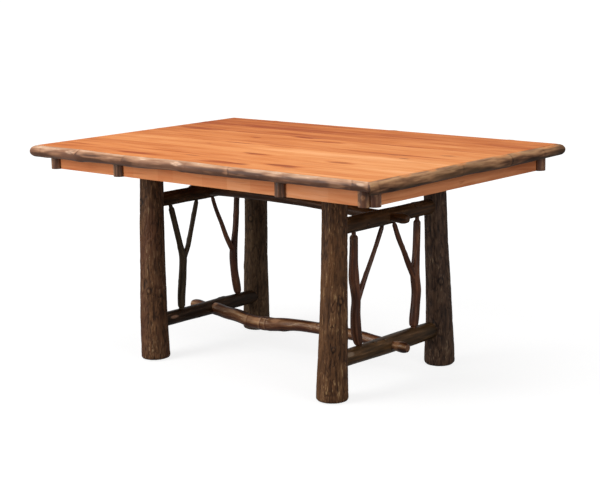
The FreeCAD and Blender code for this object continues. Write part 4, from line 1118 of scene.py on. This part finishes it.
def fastener_tree():
    tree = bpy.data.node_groups.new("fasteners_at_points", "GeometryNodeTree")
    for name, kind in (("Places", "Geometry"), ("Shank radius", "Float"), ("Shank length", "Float"),
                       ("Head radius", "Float"), ("Head height", "Float"), ("Turn", "Vector"),
                       ("Material", "Material")):
        tree.interface.new_socket(name, in_out="INPUT", socket_type="NodeSocket" + kind)
    tree.interface.new_socket("Fasteners", in_out="OUTPUT", socket_type="NodeSocketGeometry")
    given = add(tree, "NodeGroupInput").outputs

    def rod(radius, length):
        cylinder = add(tree, "GeometryNodeMeshCylinder", {"Vertices": 24, "Radius": radius, "Depth": length})
        half = add(tree, "Math", (length, 0.5), operation="MULTIPLY")
        lift = add(tree, "CombineXYZ", {"Z": half})
        return add(tree, "GeometryNodeTransform", {"Geometry": cylinder, "Translation": lift})

    both = add(tree, "GeometryNodeJoinGeometry")
    for part in ("Shank radius", "Shank length"), ("Head radius", "Head height"):
        tree.links.new(rod(*[given[size] for size in part]).outputs[0], both.inputs[0])
    turn = add(tree, "FunctionNodeEulerToRotation", {"Euler": given["Turn"]})
    laid = add(tree, "GeometryNodeInstanceOnPoints", {
        "Points": given["Places"], "Instance": both, "Rotation": turn,
    })
    real = add(tree, "GeometryNodeRealizeInstances", {"Geometry": laid})
    dressed = add(tree, "GeometryNodeSetMaterial", {"Geometry": real, "Material": given["Material"]})
    add(tree, "NodeGroupOutput", {"Fasteners": dressed})
    return tree


def place_fasteners(tree, name, node, slot, places, material, turn, **sizes):
    """Run the tree on a cloud of places in mm, and keep its result as a plain mesh."""
    carrier = new_object(name + "_carrier", plain_mesh(name + "_places", places))
    modifier = carrier.modifiers.new("fasteners", "NODES")
    modifier.node_group = tree
    values = {key.replace("_", " ").capitalize(): size * MM for key, size in sizes.items()}
    values.update({"Turn": turn, "Material": material})
    for socket in tree.interface.items_tree:
        if socket.in_out == "INPUT" and socket.name in values:
            modifier[socket.identifier] = values[socket.name]
    mesh = evaluated_mesh(carrier)
    mesh.name = name
    hand_over(new_object(name, mesh), slot, node)


def leg_log_at(corner, height):
    """The log's radius at a height, and how far its middle stands there to the right and from the trestle's
    middle."""
    radius, right, inward = [
        np.interp(height / leg_height, leg_heights, form) * foot_radius for form in leg_forms[corner]
    ]
    return radius, right, axis_out(height) - inward


def make_fasteners():
    """The pins across the legs' and rails' tenons, and a row of screws from each cleat into the boards."""
    legs, rails, screws = [], [], []
    for side, sign in sides.items():
        x = sign * trestle_spacing / 2
        for end, way in ends.items():
            corner = f"{end}_{side}"
            y = way * leg_log_at(corner, leg_height)[2]
            legs.append((x - leg_pin_start, y, leg_height + leg_pin_rise))
            for level in ("upper", "lower"):
                z = rail_height[f"{level}_{side}"]
                reach = axis_out(z) - rail_pin
                radius, right, out = leg_log_at(corner, z)
                rails.append((x - way * right - math.sqrt(radius**2 - (reach - out)**2), way * reach, z))
    reach = apron_width / 2 - apron_thickness - cleat_end_gap
    for x in (-1, 0, 1):
        for front, back in zip(board_edge_shares, board_edge_shares[1:]):
            y = (max(top_width * (front - 0.5), -reach) + min(top_width * (back - 0.5), reach)) / 2
            screws.append((x * trestle_spacing / 2 + screw_offset, y, leg_height))
    tree = fastener_tree()
    sideways = (0, math.pi / 2, 0)
    place_fasteners(tree, "dowels_in_leg_tops", "leg_pins", "pin_wood", legs, dowel_wood, sideways,
                    shank_radius=4, shank_length=72, head_radius=4, head_height=1)
    place_fasteners(tree, "dowels_in_rails", "rail_pins", "pin_wood", rails, dowel_wood, sideways,
                    shank_radius=4, shank_length=52, head_radius=4, head_height=1)
    place_fasteners(tree, "screws_in_cleats", "top_screws", "screw_steel", screws, screw_steel, (0, 0, 0),
                    shank_radius=2.5, shank_length=50, head_radius=4.5, head_height=3)


def dress_hidden_wood():
    """The cleats and corner blocks keep their CAD shapes."""
    for name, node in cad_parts.items():
        if name.startswith(("cleat", "corner_block")):
            node.data.materials.clear()
            node.data.materials.append(cleat_wood)


# Room, light and camera

def seen_rays(tree, glossy):
    """1 where the camera looks straight or through glass, and a share of that in reflections."""
    rays = add(tree, "LightPath").outputs
    straight = add(tree, "Math", (rays["Is Camera Ray"], rays["Is Transmission Ray"]), operation="MAXIMUM")
    mirrored = add(tree, "Math", (rays["Is Glossy Ray"], glossy), operation="MULTIPLY")
    return add(tree, "Math", (straight, mirrored), operation="MAXIMUM")


def make_floor():
    """A pale floor that turns full white 3.2 m from the table, keeps its soft shadow and shows faintly in
    the varnish."""
    wide = 40000
    corners = [(-wide, -wide, 0), (wide, -wide, 0), (wide, wide, 0), (-wide, wide, 0)]
    floor = new_object("studio_floor", plain_mesh("studio_floor", corners, [(0, 1, 2, 3)]))
    material, tree = new_material("white_studio_floor")
    away = add(tree, "VectorMath", [add(tree, "TexCoord").outputs["Object"]], operation="LENGTH")
    white = add(tree, "MapRange", (away.outputs["Value"], 1, 3.2, 0.82, 1), **soft)
    strength = add(tree, "Math", (seen_rays(tree, 0.15), white), operation="MULTIPLY")
    glow = add(tree, "Emission", {"Color": (1, 1, 1, 1), "Strength": strength})
    paint = add(tree, "BsdfDiffuse", {"Color": linear("#8A8A8A")})
    add(tree, "OutputMaterial", {"Surface": add(tree, "AddShader", (paint, glow))})
    floor.data.materials.append(material)


def make_world():
    """White where the camera sees it, a dim even light on the table, and dim in the varnish."""
    world = bpy.data.worlds.new("white_studio")
    world.use_nodes = True
    tree = world.node_tree
    tree.nodes.clear()
    strength = add(tree, "MapRange", (seen_rays(tree, 0.25), 0, 1, 0.28, 1))
    glow = add(tree, "Background", {"Color": (1, 1, 1, 1), "Strength": strength})
    add(tree, "OutputWorld", {"Surface": glow})
    bpy.context.scene.world = world


def make_lamp(name, turn, height, away, wide, watts, aim=(0, 0, 0.45)):
    """A square lamp that stands at a turn and height in degrees, so far from the spot it looks at."""
    turn, height = math.radians(turn), math.radians(height)
    way = Vector((math.cos(turn) * math.cos(height), math.sin(turn) * math.cos(height), math.sin(height)))
    lamp = bpy.data.lights.new(name, "AREA")
    lamp.shape = "SQUARE"
    lamp.size = wide
    lamp.energy = watts
    stand = new_object(name, lamp)
    stand.location = Vector(aim) + way * away
    stand.rotation_euler = way.to_track_quat("Z", "Y").to_euler()


def make_camera():
    """The photograph's camera, found from the table's own corners: its three turns in degrees, its distance
    from a spot at mid height, and its focal length and picture centre in pixels of the 600 wide picture."""
    yaw, pitch, roll = [math.radians(angle) for angle in (42.59, 11.33, -1.36)]
    distance, mid_height, focal, centre, wide, sensor = 5.182, 0.4, 1499.2, (7.14, -1.65), 600, 36
    back = Vector((math.sin(yaw) * math.cos(pitch), -math.cos(yaw) * math.cos(pitch), math.sin(pitch)))
    right = Vector((0, 0, 1)).cross(back).normalized()
    up = back.cross(right)
    right, up = right * math.cos(roll) + up * math.sin(roll), up * math.cos(roll) - right * math.sin(roll)
    lens = bpy.data.cameras.new("camera")
    lens.sensor_width = sensor
    lens.lens = focal / wide * sensor
    lens.shift_x, lens.shift_y = centre[0] / wide, centre[1] / wide
    lens.clip_end = 200
    camera = new_object("camera", lens)
    place = Vector((0, 0, mid_height)) + back * distance
    camera.matrix_world = Matrix.Translation(place) @ Matrix((right, up, back)).transposed().to_4x4()
    bpy.context.scene.camera = camera


make_boards()
make_trims()
make_aprons()
make_posts()
for number, (end, side) in enumerate((end, side) for end in ends for side in sides):
    make_leg(end, side, bark_seeds["leg"] + number)
    make_twig(end, side, bark_seeds["twig"] + number * 7)
for seed, rail in enumerate(rail_height, bark_seeds["rail"]):
    make_rail(rail, seed)
# Each stretcher gets a painted highlight along the upper part of its front, and painted shade round the rest
make_stretcher("upper", cut_ends=(0.6, 0.3), worn=(0, -0.16, 0.12),
               knots=((300, 2.0, 2.5, 14, 10), (700, 4.2, 2.2, 12, 9)))
make_stretcher(
    "lower", bare_ends=(5, 0), cut_ends=(1, 0.1), worn=(0, -0.84, 0.46),
    knots=((302, 4.4, 2.5, 16, 12), (470, 4.2, 3.0, 22, 12), (640, 2.2, 2.0, 14, 10)),
    rings=((300, 1.0, 0.4), (372, 1.4, 0.9), (398, 1.0, 0.8)),
    scars=((350, 2.5, 24, 10, 0.5), (440, 2.4, 24, 10, 0.45), (128, 2.0, 9, 12, 0.7), (976, 0, 20, 90, 0.5)),
)
make_fasteners()
dress_hidden_wood()
make_floor()
make_world()
make_lamp("soft_key", -112, 17, 4.4, 2.4, 92)
make_lamp("soft_key_high", -118, 44, 4.2, 2.0, 68)
make_lamp("soft_fill", -12, 20, 4.5, 2.0, 60)
make_lamp("soft_top", 90, 80, 2.8, 2.4, 47, (0, 0, 0.76))
make_camera()

bpy.context.scene.view_settings.view_transform = "Standard"
